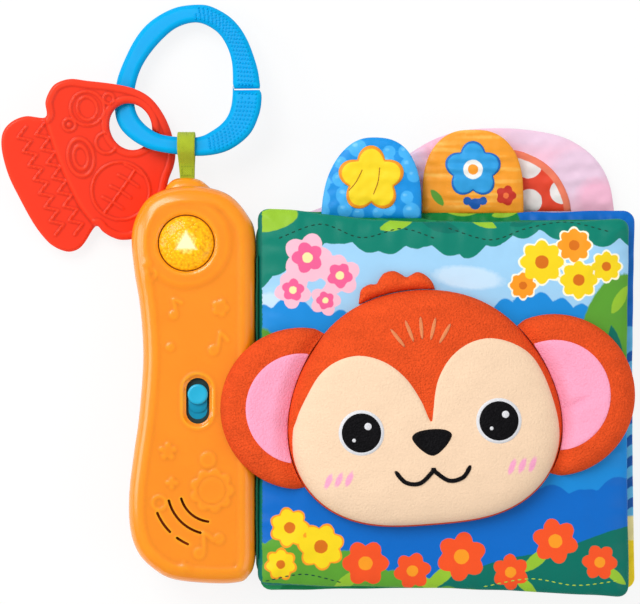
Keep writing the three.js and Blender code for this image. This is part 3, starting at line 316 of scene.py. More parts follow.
def below(knots: list, pitch: float = 0.0, depth: float = 0.0) -> Distance:
    """Measure from the area under a wavy line, which can have scallops."""
    line = np.array(knots, float)

    def measure(flat: Flat) -> np.ndarray:
        """Measure each point."""
        edge = np.interp(flat[:, 0], line[:, 0], line[:, 1])
        if pitch:
            edge = edge + depth * np.abs(np.sin(flat[:, 0] * math.pi / pitch))
        return (flat[:, 1] - edge) * 0.85
    return measure


def below_level(height: float, pitch: float = 0.0, depth: float = 0.0) -> Distance:
    """Measure from the area under a level line across the leaf, which can have scallops."""
    return below([(20, height), (210, height)], pitch, depth)


def union(*shapes: Distance) -> Distance:
    """Join several figures."""
    return lambda flat: np.minimum.reduce([shape(flat) for shape in shapes])


def spots(places: list, share: float = 1.0) -> Distance:
    """Measure from round spots, given by place and radius."""
    return union(*[disc(x, y, radius * share) for x, y, radius in places])


def flowers(places: list, petals: int, wave: float, turn: float = 0.0, start: float = 0.0,
            share: float = 1.0, growth: float = 0.0) -> Distance:
    """Measure from flowers, given by place and radius, each turned further than the one before.

    Args:
        places: Place and radius of each.
        petals: Number of petals.
        wave: How deep the gaps between the petals are.
        turn: Degrees from one flower to the next.
        start: Degrees of the first.
        share: Share of the given radius that is drawn.
        growth: Distance added to that radius.

    Returns:
        The distance from the nearest one.
    """
    return union(*[blossom(x, y, radius * share + growth, petals, wave, turn * i + start)
                   for i, (x, y, radius) in enumerate(places)])


def without(shape: Distance, *others: Distance) -> Distance:
    """Take other figures out of one."""
    return lambda flat: np.maximum.reduce([shape(flat), *[-other(flat) for other in others]])


def both(*shapes: Distance) -> Distance:
    """Keep what several figures share."""
    return lambda flat: np.maximum.reduce([shape(flat) for shape in shapes])


def rim_of(shape: Distance, width: float) -> Distance:
    """Measure from a band along a figure's edge."""
    return lambda flat: np.abs(shape(flat)) - width / 2


def note(x: float, y: float, size: float, degrees: float = 0.0) -> Distance:
    """Measure from a plain music note: a head, a stem and a flag."""
    turn = math.radians(degrees)
    up = np.array([-math.sin(turn), math.cos(turn)])
    side = np.array([up[1], -up[0]])
    head = np.array([x, y]) - up * size * 0.35
    foot, tip = head + side * size * 0.2, head + side * size * 0.2 + up * size * 0.9
    flag = tip + side * size * 0.42 - up * size * 0.3
    return union(disc(*head, size * 0.25), stroke([foot, (foot + tip) / 2, tip], size * 0.13),
                 stroke([tip, (tip + flag) / 2 + up * size * 0.04, flag], size * 0.16))


# Skins: closed surfaces as points and faces

def triangulate(outline: Flat, holes: list[Flat], spacing: float, insets: tuple[float, ...],
                rims: tuple[float, ...]) -> tuple[Flat, np.ndarray, list[np.ndarray]]:
    """Fill an outline with even triangles.

    Args:
        outline: Outer loop, counter-clockwise.
        holes: Loops of holes, counter-clockwise.
        spacing: Size of the triangles.
        insets: Distances inside the outline that get a row of points of their own.
        rims: The same around each hole.

    Returns:
        The flat points, the triangles and, for each loop, the indices of its points.
    """
    low, high = outline.min(axis=0), outline.max(axis=0)
    rows = [np.column_stack([xs := np.arange(low[0] + (i % 2) * spacing / 2, high[0], spacing),
                             np.full(len(xs), y)])
            for i, y in enumerate(np.arange(low[1], high[1], spacing * 0.866))]
    grid = np.vstack(rows)
    grid = grid[inside(grid, outline)]
    grid = grid[edge_distance(grid, outline) > max(insets, default=0.0) + spacing * 0.55]
    rings = []
    for distance in insets:
        ring = inset(outline, distance)
        ring = ring[inside(ring, outline)]
        rings.append(ring[edge_distance(ring, outline) > distance * 0.97])
    for hole in holes:
        grid = grid[~inside(grid, hole)]
        grid = grid[edge_distance(grid, hole) > max(rims, default=0.0) + spacing * 0.5]
        rings += [inset(hole, -distance) for distance in rims]
    for hole in holes:
        rings = [ring[~inside(ring, hole) & (edge_distance(ring, hole) > 0.05)] for ring in rings]
    loops = [outline, *holes]
    starts = np.cumsum([0] + [len(loop) for loop in loops])
    edges = [(start + i, start + (i + 1) % len(loop))
             for start, loop in zip(starts, loops) for i in range(len(loop))]
    given = np.vstack([*loops, *rings, grid])
    flat, _, faces, origin, _, _ = delaunay_2d_cdt([Vector(p) for p in given], edges, [], 0, 1e-5)
    flat = np.array([tuple(p) for p in flat])
    place = {source: index for index, sources in enumerate(origin) for source in sources}
    faces = np.array([tuple(face) for face in faces if len(face) == 3])
    a, b, c = (flat[faces[:, k]] for k in range(3))
    area = (b[:, 0] - a[:, 0]) * (c[:, 1] - a[:, 1]) - (b[:, 1] - a[:, 1]) * (c[:, 0] - a[:, 0])
    faces[area < 0] = faces[area < 0][:, ::-1]
    centre = (a + b + c) / 3
    keep = inside(centre, outline) & (np.abs(area) > 1e-9)
    for hole in holes:
        keep &= ~inside(centre, hole)
    indices = [np.array([place[start + i] for i in range(len(loop))]) for start, loop in zip(starts, loops)]
    return flat, faces[keep], indices


def plate(outline: Flat, top: Height, bottom: Height, spacing: float = 1.0,
          insets: tuple[float, ...] = (), holes: tuple[Flat, ...] = (), rims: tuple[float, ...] = (),
          coarse: float = 1.0) -> Skin:
    """Close a body between two height functions over one outline.

    Args:
        outline: Outer loop, counter-clockwise.
        top: Height of the upper face from the place and the distance to the outline.
        bottom: Height of the lower face in the same way.
        spacing: Size of the triangles of the upper face.
        insets: Distances inside the outline that get points of their own.
        holes: Loops that are cut through.
        rims: Distances around each hole that get points of their own.
        coarse: How many times larger the triangles of the lower face are.

    Returns:
        The closed skin.
    """
    points, faces, rings, start = [], [], [], 0
    for height, size, up in ((top, spacing, True), (bottom, spacing * coarse, False)):
        flat, triangles, loops = triangulate(outline, list(holes), size, insets, rims)
        tall = height(flat, edge_distance(flat, outline))
        points.append(np.column_stack([flat, tall]))
        faces += [tuple(face + start) for face in (triangles if up else triangles[:, ::-1])]
        rings.append([loop + start for loop in loops])
        start += len(flat)
    for index, (upper, lower) in enumerate(zip(*rings)):
        for i in range(len(upper)):
            k = (i + 1) % len(upper)
            wall = (lower[i], lower[k], upper[k], upper[i])
            faces.append(wall if index == 0 else wall[::-1])
    return np.vstack(points), faces


def lathe(profile: list[tuple[float, float]], x: float, y: float, segments: int,
          closed: bool = False) -> Skin:
    """Turn a profile about an upright axis.

    Args:
        profile: Pairs of radius and height from the lower to the upper end.
        x: Place of the axis.
        y: Place of the axis.
        segments: Number of steps around it.
        closed: Whether the profile is a loop.

    Returns:
        The closed skin.
    """
    turn = full_turn(segments)
    return loft([at_height(around(x, y, radius, turn), height) for radius, height in profile], closed)


def loft(rings: list[np.ndarray], closed: bool = False) -> Skin:
    """Join rings of equally many points, with flat ends unless the rings themselves close.

    Args:
        rings: The rings, each counter-clockwise seen from the side that the last one faces.
        closed: Whether the last ring joins the first.

    Returns:
        The closed skin.
    """
    size = len(rings[0])
    faces = []
    for r in range(len(rings) if closed else len(rings) - 1):
        near, far = r * size, (r + 1) % len(rings) * size
        faces += [(near + i, near + (i + 1) % size, far + (i + 1) % size, far + i) for i in range(size)]
    if not closed:
        faces += [tuple(range(size))[::-1], tuple(range((len(rings) - 1) * size, len(rings) * size))]
    return np.vstack(rings), faces


def sweep(path: np.ndarray, width: float, thick: float, up: np.ndarray) -> Skin:
    """Draw an oval section along a path, tapered to soft ends.

    Args:
        path: Points of the path.
        width: Width of the section across the path.
        thick: Thickness along the up direction.
        up: Direction square to the width, one for all points or one for each.

    Returns:
        The closed skin.
    """
    along = unit(np.gradient(path, axis=0))
    across = unit(np.cross(along, np.broadcast_to(up, path.shape)))
    lift = np.cross(across, along)
    turn = full_turn(SWEEP_SIDES)
    steps = np.arange(len(path))
    taper = np.sqrt(np.clip((np.minimum(steps, steps[::-1]) + 0.35) / 2.0, 0, 1))
    rings = [path[i] + taper[i] * (np.cos(turn)[:, None] * across[i] * width / 2
                                   + np.sin(turn)[:, None] * lift[i] * thick / 2)
             for i in steps]
    return loft([ring[::-1] for ring in rings])


# Finishes

class Graph:
    """Short calls that wire one node tree."""

    def __init__(self, tree: bpy.types.NodeTree) -> None:
        """Keep the tree that the nodes go into."""
        self.tree = tree

    def put(self, socket: bpy.types.NodeSocket, value: object) -> None:
        """Link a socket to another one, or write a value into it."""
        if isinstance(value, bpy.types.NodeSocket):
            self.tree.links.new(value, socket)
        else:
            socket.default_value = value[:len(socket.default_value)] if isinstance(value, tuple) else value

    def feed(self, node: bpy.types.Node, values: dict[str | int, object]) -> bpy.types.Node:
        """Feed a node's inputs, by name or number, with sockets or constants."""
        for label, value in values.items():
            self.put(node.inputs[label], value)
        return node

    def node(self, kind: str, values: dict[str | int, object] | None = None,
             **settings: object) -> bpy.types.Node:
        """Add a node, set its properties and feed its inputs.

        Args:
            kind: Type of the node.
            values: What its inputs get.
            settings: Its properties.

        Returns:
            The node.
        """
        made = self.tree.nodes.new(kind)
        for name, value in settings.items():
            setattr(made, name, value)
        return self.feed(made, values or {})

    def math(self, operation: str, *values: object, clamp: bool = False) -> bpy.types.NodeSocket:
        """Add a Math node and give its result."""
        made = self.node("ShaderNodeMath", dict(enumerate(values)), operation=operation, use_clamp=clamp)
        return made.outputs[0]

    def vector(self, operation: str, *values: object) -> bpy.types.NodeSocket:
        """Add a Vector Math node and give its result."""
        return self.node("ShaderNodeVectorMath", dict(enumerate(values)), operation=operation).outputs[0]

    def split(self, vector: object) -> list[bpy.types.NodeSocket]:
        """Give the three coordinates of a vector."""
        return list(self.node("ShaderNodeSeparateXYZ", {0: vector}).outputs)

    def mix(self, share: object, first: object, second: object, blend: str = "MIX") -> bpy.types.NodeSocket:
        """Mix two colours."""
        values = {0: share, 6: first, 7: second}
        return self.node("ShaderNodeMix", values, data_type="RGBA", blend_type=blend).outputs[2]

    def noise(self, place: object, scale: float, detail: float = 2.0) -> bpy.types.NodeSocket:
        """Add a noise texture and give its value."""
        made = self.node("ShaderNodeTexNoise", {"Vector": place, "Scale": scale, "Detail": detail})
        return made.outputs["Fac"]

    def lumps(self, place: object, scale: float, feature: str) -> bpy.types.NodeSocket:
        """Give round lumps, highest at the middle of each cell."""
        cells = self.node("ShaderNodeTexVoronoi", {"Vector": place, "Scale": scale}, feature=feature)
        return self.math("SUBTRACT", 1.0, cells.outputs["Distance"])

    def attribute(self, name: str) -> bpy.types.NodeSocket:
        """Give a value that is stored on the mesh."""
        return self.node("ShaderNodeAttribute", attribute_name=name).outputs["Fac"]

    def millimetres(self) -> bpy.types.NodeSocket:
        """Give the object's own coordinates in millimetres."""
        made = self.node("ShaderNodeTexCoord")
        return self.vector("MULTIPLY", made.outputs["Object"], (1 / MM, 1 / MM, 1 / MM))

    def effect(self, group: bpy.types.NodeTree, **inputs: object) -> dict[str, bpy.types.NodeSocket]:
        """Add a shared effect, feed its inputs and give its outputs by name."""
        made = self.node("ShaderNodeGroup", node_tree=group)
        return {socket.name: socket for socket in self.feed(made, inputs).outputs}


class Effects:
    """Node groups that several finishes share, each made once."""

    made: dict[str, bpy.types.NodeTree] = {}

    @classmethod
    def group(cls, name: str, inputs: tuple[str, ...], outputs: tuple[str, ...],
              wire: Callable[[Graph, dict, bpy.types.Node], None]) -> bpy.types.NodeTree:
        """Make a node group, or give the one that is there.

        Args:
            name: Name of the effect.
            inputs: Names of the value inputs that follow the place.
            outputs: Names of the value outputs.
            wire: Builds the nodes between the two.

        Returns:
            The group.
        """
        if name not in cls.made:
            tree = bpy.data.node_groups.new(name, "ShaderNodeTree")
            tree.interface.new_socket("Place", in_out="INPUT", socket_type="NodeSocketVector")
            for side, labels in (("INPUT", inputs), ("OUTPUT", outputs)):
                for label in labels:
                    tree.interface.new_socket(label, in_out=side, socket_type="NodeSocketFloat")
            graph = Graph(tree)
            start, end = graph.node("NodeGroupInput"), graph.node("NodeGroupOutput")
            wire(graph, start.outputs, end)
            cls.made[name] = tree
        return cls.made[name]

    @classmethod
    def grain(cls) -> bpy.types.NodeTree:
        """Give the fine uneven surface of moulded plastic and rubber."""
        def wire(graph: Graph, given: dict, end: bpy.types.Node) -> None:
            """Wire fine pits and broad smudges."""
            fine, broad = graph.noise(given["Place"], 1.6, 3.0), graph.noise(given["Place"], 0.06, 2.0)
            graph.feed(end, {"Height": fine, "Smudge": broad})
        return cls.group("Moulded grain", (), ("Height", "Smudge"), wire)

    @classmethod
    def weave(cls) -> bpy.types.NodeTree:
        """Give crossing threads at a pitch, with the uneven take-up of woven cloth."""
        def wire(graph: Graph, given: dict, end: bpy.types.Node) -> None:
            """Wire warp and weft."""
            rate = graph.math("DIVIDE", math.tau, given["Pitch"])
            warp, weft = [graph.math("SINE", graph.math("MULTIPLY", axis, rate))
                          for axis in graph.split(given["Place"])[:2]]
            threads = graph.math("MULTIPLY_ADD", graph.math("MULTIPLY", warp, weft), 0.5, 0.5)
            slub = graph.noise(given["Place"], 0.35, 3.0)
            graph.feed(end, {"Height": graph.math("ADD", threads, slub),
                             "Shade": graph.math("MULTIPLY_ADD", threads, 0.35, slub)})
        return cls.group("Woven cloth", ("Pitch",), ("Height", "Shade"), wire)

    @classmethod
    def pile(cls) -> bpy.types.NodeTree:
        """Give the speckled tufts of a short plush pile and the strokes where it was brushed."""
        def wire(graph: Graph, given: dict, end: bpy.types.Node) -> None:
            """Wire tufts, specks and brush strokes."""
            tufts = graph.lumps(given["Place"], 1.1, "F1")
            specks = graph.noise(given["Place"], 1.3, 4.0)
            stroked = graph.noise(graph.vector("MULTIPLY", given["Place"], (0.08, 0.16, 0.1)), 1.0, 3.0)
            graph.feed(end, {"Height": graph.math("ADD", tufts, specks), "Speck": specks, "Stroke": stroked})
        return cls.group("Plush pile", (), ("Height", "Speck", "Stroke"), wire)

    @classmethod
    def edge(cls) -> bpy.types.NodeTree:
        """Turn a distance in millimetres into the mask of a printed figure with a soft uneven edge."""
        def wire(graph: Graph, given: dict, end: bpy.types.Node) -> None:
            """Wire the wobble and the ramp."""
            wobble = graph.math("MULTIPLY", graph.math("SUBTRACT", graph.noise(given["Place"], 0.5), 0.5),
                                given["Wobble"])
            distance = graph.math("ADD", given["Distance"], wobble)
            share = graph.math("DIVIDE", distance, given["Softness"])
            graph.feed(end, {"Mask": graph.math("SUBTRACT", 0.5, share, clamp=True)})
        return cls.group("Printed edge", ("Distance", "Softness", "Wobble"), ("Mask",), wire)


def linear(colour: tuple[int, int, int]) -> tuple[float, float, float, float]:
    """Turn a colour as it is seen, 0 to 255, into the linear values that sockets take."""
    parts = [c / 255.0 for c in colour]
    return (*[c / 12.92 if c <= 0.04045 else ((c + 0.055) / 1.055) ** 2.4 for c in parts], 1.0)


def shift(colour: tuple[int, int, int], share: float) -> tuple[int, int, int]:
    """Make a colour darker, or lighter where the share is above 1."""
    return tuple(int(min(255, c * share)) for c in colour)


@dataclass(frozen=True)
class Finish:
    """A surface finish: its colour and gloss, with the detail that its kind adds."""

    name: str
    colour: tuple[int, int, int]
    roughness: float = 0.5

    def material(self) -> bpy.types.Material:
        """Give the material, made the first time that it is asked for."""
        found = bpy.data.materials.get(self.name)
        if found:
            return found
        made = bpy.data.materials.new(self.name)
        made.use_nodes = True
        made.diffuse_color = linear(self.colour)
        shader = made.node_tree.nodes["Principled BSDF"]
        shader.inputs["Roughness"].default_value = self.roughness
        self.wire(Graph(made.node_tree), shader)
        return made

    def wire(self, graph: Graph, shader: bpy.types.Node) -> None:
        """Feed the shader; each kind of finish does it in its own way."""
        graph.feed(shader, {"Base Color": linear(self.colour)})

    def paint(self, obj: bpy.types.Object) -> bpy.types.Object:
        """Store on a finished mesh what the material reads from it; most finishes read nothing."""
        return obj

    @staticmethod
    def bump(graph: Graph, height: object, distance: float) -> bpy.types.NodeSocket:
        """Raise the surface by a height in millimetres of the given reach."""
        made = graph.node("ShaderNodeBump", {"Strength": 1.0, "Distance": distance * MM, "Height": height})
        return made.outputs[0]


@dataclass(frozen=True)
class Moulded(Finish):
    """Moulded plastic or rubber with a faint grain, with painted shade in its creases and painted highlights
    on its ridges where shade is set.
    """

    roughness: float = 0.3
    coat: float = 0.25
    grain: float = 0.02
    depth: float = 0.0
    gloss: float = 0.5
    # shade: strength of the painted shade in creases and the painted highlight on ridges
    shade: float = 0.0

    def wire(self, graph: Graph, shader: bpy.types.Node) -> None:
        """Feed colour, gloss and grain, and paint shade into creases and highlights onto ridges where shade
        is set.
        """
        surface = graph.effect(Effects.grain(), Place=graph.millimetres())
        dull, bright = linear(shift(self.colour, 0.97)), linear(shift(self.colour, 1.03))
        colour = graph.mix(surface["Smudge"], dull, bright)
        # Painted shade and highlight: creases darken towards a dark copy of the colour, ridges lighten
        # towards a light copy
        if self.shade:
            hollow = graph.attribute("hollow")
            for rate, painted_tone in ((self.shade, 0.3), (-0.8 * self.shade, 1.5)):
                share = graph.math("MULTIPLY", hollow, rate, clamp=True)
                colour = graph.mix(share, colour, linear(shift(self.colour, painted_tone)))
        graph.feed(shader, {
            "Base Color": colour,
            "Roughness": graph.math("MULTIPLY_ADD", surface["Smudge"], 0.12, self.roughness - 0.06),
            "Specular IOR Level": self.gloss,
            "Coat Weight": self.coat,
            "Coat Roughness": 0.2,
            "Subsurface Weight": self.depth,
            "Subsurface Scale": 2 * MM,
            "Subsurface Radius": (1.0, 0.4, 0.2),
            "Normal": self.bump(graph, surface["Height"], self.grain),
        })

    def paint(self, obj: bpy.types.Object) -> bpy.types.Object:
        """Store how hollow the surface is at each point, from 1 in a crease to -1 on a ridge, for painted
        shade and highlight.
        """
        if not self.shade:
            return obj
        mesh = obj.data
        count = len(mesh.vertices)
        points, facing = vectors(obj) / MM, vectors(obj, "normal")
        ends = np.empty(len(mesh.edges) * 2, int)
        mesh.edges.foreach_get("vertices", ends)
        ends = ends.reshape(-1, 2)
        start, end = np.concatenate([ends, ends[:, ::-1]]).T
        step = points[end] - points[start]
        rise = np.bincount(start, np.einsum("ij,ij->i", step, facing[start]), count)
        hollow = 4 * rise / np.maximum(np.bincount(start, (step ** 2).sum(axis=1), count), 1e-6)
        share = np.maximum(np.bincount(start, minlength=count), 1)
        for _ in range(2):
            hollow = (hollow + np.bincount(start, hollow[end], count) / share) / 2
        stored = mesh.attributes.new("hollow", "FLOAT", "POINT")
        stored.data.foreach_set("value", np.clip(hollow / 0.9, -1, 1))
        return obj


@dataclass(frozen=True)
class Metal(Finish):
    """Bright steel of screws, cells and contacts."""

    roughness: float = 0.32

    def wire(self, graph: Graph, shader: bpy.types.Node) -> None:
        """Feed colour and smudged gloss."""
        surface = graph.effect(Effects.grain(), Place=graph.millimetres())
        rough = graph.math("MULTIPLY_ADD", surface["Smudge"], 0.3, self.roughness - 0.15)
        graph.feed(shader, {"Base Color": linear(self.colour), "Metallic": 1.0, "Roughness": rough})


@dataclass(frozen=True)
class Lens(Finish):
    """Clear amber plastic with a pebbled rim and a painted glow, as if lit from below its middle."""

    roughness: float = 0.12
    centre: tuple[float, float] = (0.0, 0.0)
    radius: float = 12.0
    unlit: tuple[int, int, int] = (120, 56, 0)
    far_glow: tuple[int, int, int] = (206, 128, 0)
    near_glow: tuple[int, int, int] = (255, 212, 10)
    core_glow: tuple[int, int, int] = (255, 252, 224)

    def wire(self, graph: Graph, shader: bpy.types.Node) -> None:
        """Feed the painted glow, the pebbles and the clear coat."""
        place = graph.millimetres()
        flat = graph.vector("MULTIPLY", graph.vector("SUBTRACT", place, (*self.centre, 0.0)), (1, 1, 0))
        reach = graph.node("ShaderNodeVectorMath", {0: flat}, operation="LENGTH").outputs["Value"]
        share = graph.math("DIVIDE", reach, self.radius, clamp=True)
        pebbles = graph.lumps(place, 0.95, "SMOOTH_F1")
        speck = graph.math("MULTIPLY_ADD", pebbles, 0.9, 0.2)
        rays = graph.noise(graph.vector("MULTIPLY", flat, (0.35, 0.35, 0.0)), 1.0, 2.0)
        spread = graph.math("ADD", share, graph.math("MULTIPLY_ADD", rays, 0.3, -0.15))
        near = graph.math("SUBTRACT", 1.0, graph.math("DIVIDE", spread, 0.62), clamp=True)
        across, up, _ = graph.split(flat)
        flank = graph.math("MULTIPLY_ADD", graph.math("ABSOLUTE", across), 0.87,
                           graph.math("MULTIPLY", up, 0.5))
        wedge = graph.math("MAXIMUM", flank, graph.math("MULTIPLY", up, -1.0))
        wedge = graph.math("MULTIPLY_ADD", wedge, -1.0, self.radius * 0.26, clamp=True)
        blunt = graph.math("MULTIPLY_ADD", spread, -2.2, 0.9, clamp=True)
        core = graph.math("MAXIMUM", wedge, graph.math("POWER", blunt, 2.0))
        # Painted glow: emission from amber at the rim to a near white triangular core, with glowing pebble
        # specks
        halo = graph.mix(near, linear(self.far_glow), linear(self.near_glow))
        light = graph.mix(graph.math("POWER", core, 0.45), halo, linear(self.core_glow))
        graph.feed(shader, {
            "Base Color": graph.mix(pebbles, linear(shift(self.colour, 0.62)), linear(self.colour)),
            "Emission Color": graph.mix(graph.math("MAXIMUM", speck, core), linear(self.unlit), light),
            "Emission Strength": 0.8,
            "Specular IOR Level": 0.25,
            "Coat Weight": 0.2,
            "Coat Roughness": 0.06,
            "Normal": self.bump(graph, pebbles, 0.35),
        })


@dataclass(frozen=True)
class Layer:
    """One printed or dyed colour and the distance function of where it lies."""

    colour: tuple[int, int, int]
    shape: Distance
    softness: float = 0.35
    wobble: float = 0.5


@dataclass(frozen=True)
class Cloth(Finish):
    """Woven cloth, plain or printed, from matt tape to shiny satin."""

    roughness: float = 0.6
    pitch: float = 0.5
    relief: float = 0.05
    sheen: float = 0.25
    layers: tuple[Layer, ...] = ()
    uneven: float = 0.06
    gloss: float = 0.25
    mottle: float = 0.05

    def wire(self, graph: Graph, shader: bpy.types.Node) -> None:
        """Feed the print, then the threads."""
        place = graph.millimetres()
        threads = graph.effect(Effects.weave(), Place=place, Pitch=self.pitch)
        shade = graph.math("MULTIPLY", threads["Shade"], 0.75, clamp=True)
        tone = graph.math("MULTIPLY_ADD", shade, self.uneven, 1.0 - self.uneven)
        faded = graph.noise(graph.vector("MULTIPLY", place, (0.05, 0.11, 0.08)), 1.0, 3.0)
        tone = graph.math("MULTIPLY", tone,
                          graph.math("MULTIPLY_ADD", faded, self.mottle * 2, 1 - self.mottle))
        grey = graph.mix(tone, (0, 0, 0, 1), (1, 1, 1, 1))
        graph.feed(shader, {
            "Base Color": graph.mix(1.0, self.dyed(graph, place), grey, "MULTIPLY"),
            "Specular IOR Level": self.gloss,
            "Sheen Weight": self.sheen,
            "Sheen Roughness": 0.4,
            "Normal": self.bump(graph, threads["Height"], self.relief),
        })

    def dyed(self, graph: Graph, place: bpy.types.NodeSocket) -> object:
        """Give the cloth's own colour under its print, layer by layer."""
        colour: object = linear(self.colour)
        for index, layer in enumerate(self.layers):
            edge = graph.effect(Effects.edge(), Place=place, Distance=graph.attribute(self.mark(index)),
                                Softness=layer.softness, Wobble=layer.wobble)
            colour = graph.mix(edge["Mask"], colour, linear(layer.colour))
        return colour

    def mark(self, index: int) -> str:
        """Name the mesh attribute that holds a layer's distances."""
        return f"{self.name} {index:02d}"

    def paint(self, obj: bpy.types.Object) -> bpy.types.Object:
        """Store each layer's distances on a finished mesh and give the object back."""
        stored, flat = obj.data.attributes, vectors(obj)[:, :2] / MM
        for index, layer in enumerate(self.layers):
            label = self.mark(index)
            values = stored.get(label) or stored.new(label, "FLOAT", "POINT")
            values.data.foreach_set("value", layer.shape(flat).astype(np.float32))
        return obj


@dataclass(frozen=True)
class Plush(Cloth):
    """Short plush pile with specks, brushed strokes and a soft bright rim."""

    roughness: float = 0.9
    gloss: float = 0.1
    speckle: float = 0.2
    pile: float = 0.28

    def wire(self, graph: Graph, shader: bpy.types.Node) -> None:
        """Feed the dyed areas and the pile."""
        place = graph.millimetres()
        tufts = graph.effect(Effects.pile(), Place=place)
        tone = graph.math("MULTIPLY_ADD", tufts["Speck"], self.speckle * 3, 1.0 - self.speckle * 1.5)
        tone = graph.math("MULTIPLY_ADD", tufts["Stroke"], self.speckle * 1.6,
                          graph.math("SUBTRACT", tone, self.speckle * 0.8))
        worn = graph.node("ShaderNodeVectorMath", {0: self.dyed(graph, place), "Scale": tone},
                          operation="SCALE")
        graph.feed(shader, {
            "Base Color": worn.outputs[0],
            "Specular IOR Level": self.gloss,
            "Sheen Weight": self.sheen,
            "Sheen Roughness": 0.5,
            "Sheen Tint": linear(shift(self.colour, 1.2)),
            "Normal": self.bump(graph, tufts["Height"], self.pile),
        })


# Making and handing over pieces

def placed(name: str, data: bpy.types.ID) -> bpy.types.Object:
    """Put a mesh, lamp or camera into the scene as an object."""
    obj = bpy.data.objects.new(name, data)
    bpy.context.scene.collection.objects.link(obj)
    return obj


def vectors(obj: bpy.types.Object, kind: str = "co") -> np.ndarray:
    """Give the place of each of a mesh's points in metres, or its direction with kind set to normal."""
    values = np.empty(len(obj.data.vertices) * 3)
    obj.data.vertices.foreach_get(kind, values)
    return values.reshape(-1, 3)


@dataclass
class Body:
    """Collects closed skins and turns them into one object."""

    name: str
    points: list = field(default_factory=list)
    faces: list = field(default_factory=list)
    looks: list = field(default_factory=list)
    finishes: list = field(default_factory=list)

    def add(self, skin: Skin, finish: Finish) -> "Body":
        """Add one closed skin in one finish."""
        start = sum(len(points) for points in self.points)
        self.points.append(np.asarray(skin[0], float))
        return self.cover(skin[1], finish, start)

    def cover(self, faces: list, finish: Finish, start: int = 0) -> "Body":
        """Add faces in one finish over points that are there already, numbered from a first one."""
        self.faces += [tuple(int(i) + start for i in face) for face in faces]
        if finish not in self.finishes:
            self.finishes.append(finish)
        self.looks += [self.finishes.index(finish)] * len(faces)
        return self

    def build(self, sharp: float = 42.0) -> bpy.types.Object:
        """Make the object.

        Args:
            sharp: Angle in degrees from which an edge stays sharp.

        Returns:
            The object, at the origin.
        """
        mesh = bpy.data.meshes.new(self.name)
        mesh.from_pydata((np.vstack(self.points) * MM).tolist(), [], self.faces)
        for finish in self.finishes:
            mesh.materials.append(finish.material())
        mesh.polygons.foreach_set("material_index", self.looks)
        work = bmesh.new()
        work.from_mesh(mesh)
        bmesh.ops.remove_doubles(work, verts=work.verts, dist=MERGE_WITHIN * MM)
        bmesh.ops.dissolve_degenerate(work, dist=COLLAPSE_WITHIN * MM, edges=work.edges)
        work.to_mesh(mesh)
        work.free()
        mesh.polygons.foreach_set("use_smooth", [True] * len(mesh.polygons))
        mesh.set_sharp_from_angle(angle=math.radians(sharp))
        obj = placed(self.name, mesh)
        for finish in self.finishes:
            finish.paint(obj)
        return obj


def hand_over(obj: bpy.types.Object, body: str, slot: str, *nodes: str) -> None:
    """Hide the CAD nodes that a finished piece stands for and attach it to the body that it moves with.

    Args:
        obj: The piece.
        body: Body that it moves with.
        slot: Material slot; not used.
        nodes: CAD nodes that it replaces.
    """
    if nodes:
        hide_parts(*nodes)
    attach(obj, body)
    log.info("%s rides on %s, %d faces", obj.name, body, len(obj.data.polygons))


def applied(obj: bpy.types.Object) -> bpy.types.Object:
    """Bake an object's modifiers into its mesh.

    Args:
        obj: The object.

    Returns:
        The same object with a plain mesh and no modifier.
    """
    shown = obj.evaluated_get(bpy.context.evaluated_depsgraph_get())
    mesh = bpy.data.meshes.new_from_object(shown)
    mesh.name = obj.name
    obj.modifiers.clear()
    obj.data = mesh
    return obj


BEAD_SIZES = ("Length", "Width", "Thickness")


def bead_tree() -> bpy.types.NodeTree:
    """Build the Geometry Nodes tree that sets an oval bead or stitch on every point.

    Returns:
        The tree. Its inputs give the bead's three sizes and its material.
    """
    found = bpy.data.node_groups.get("Beads on points")
    if found:
        return found
    tree = bpy.data.node_groups.new("Beads on points", "GeometryNodeTree")
    for label, kind in (("Geometry", "Geometry"), *[(label, "Float") for label in BEAD_SIZES],
                        ("Material", "Material")):
        tree.interface.new_socket(label, in_out="INPUT", socket_type="NodeSocket" + kind)
    tree.interface.new_socket("Geometry", in_out="OUTPUT", socket_type="NodeSocketGeometry")
    graph = Graph(tree)
    start, end = graph.node("NodeGroupInput").outputs, graph.node("NodeGroupOutput")
    ball = graph.node("GeometryNodeMeshUVSphere", {"Segments": 10, "Rings": 6, "Radius": 0.5})
    size = graph.node("ShaderNodeCombineXYZ", dict(enumerate(start[label] for label in BEAD_SIZES)))
    turn = (0.0, 0.0, 0.0)
    for label, axis, pivot in (("facing", "Z", "AUTO"), ("along", "X", "Z")):
        given = graph.node("GeometryNodeInputNamedAttribute", {"Name": label}, data_type="FLOAT_VECTOR")
        values = {"Vector": given.outputs["Attribute"], "Rotation": turn}
        turn = graph.node("FunctionNodeAlignRotationToVector", values, axis=axis,
                          pivot_axis=pivot).outputs["Rotation"]
    values = {"Points": start["Geometry"], "Instance": ball.outputs["Mesh"], "Rotation": turn,
              "Scale": size.outputs[0]}
    shape = graph.node("GeometryNodeInstanceOnPoints", values)
    for kind, more in (("RealizeInstances", {}), ("SetShadeSmooth", {}),
                       ("SetMaterial", {"Material": start["Material"]})):
        shape = graph.node("GeometryNode" + kind, {"Geometry": shape.outputs[0], **more})
    graph.feed(end, {"Geometry": shape.outputs[0]})
    return tree


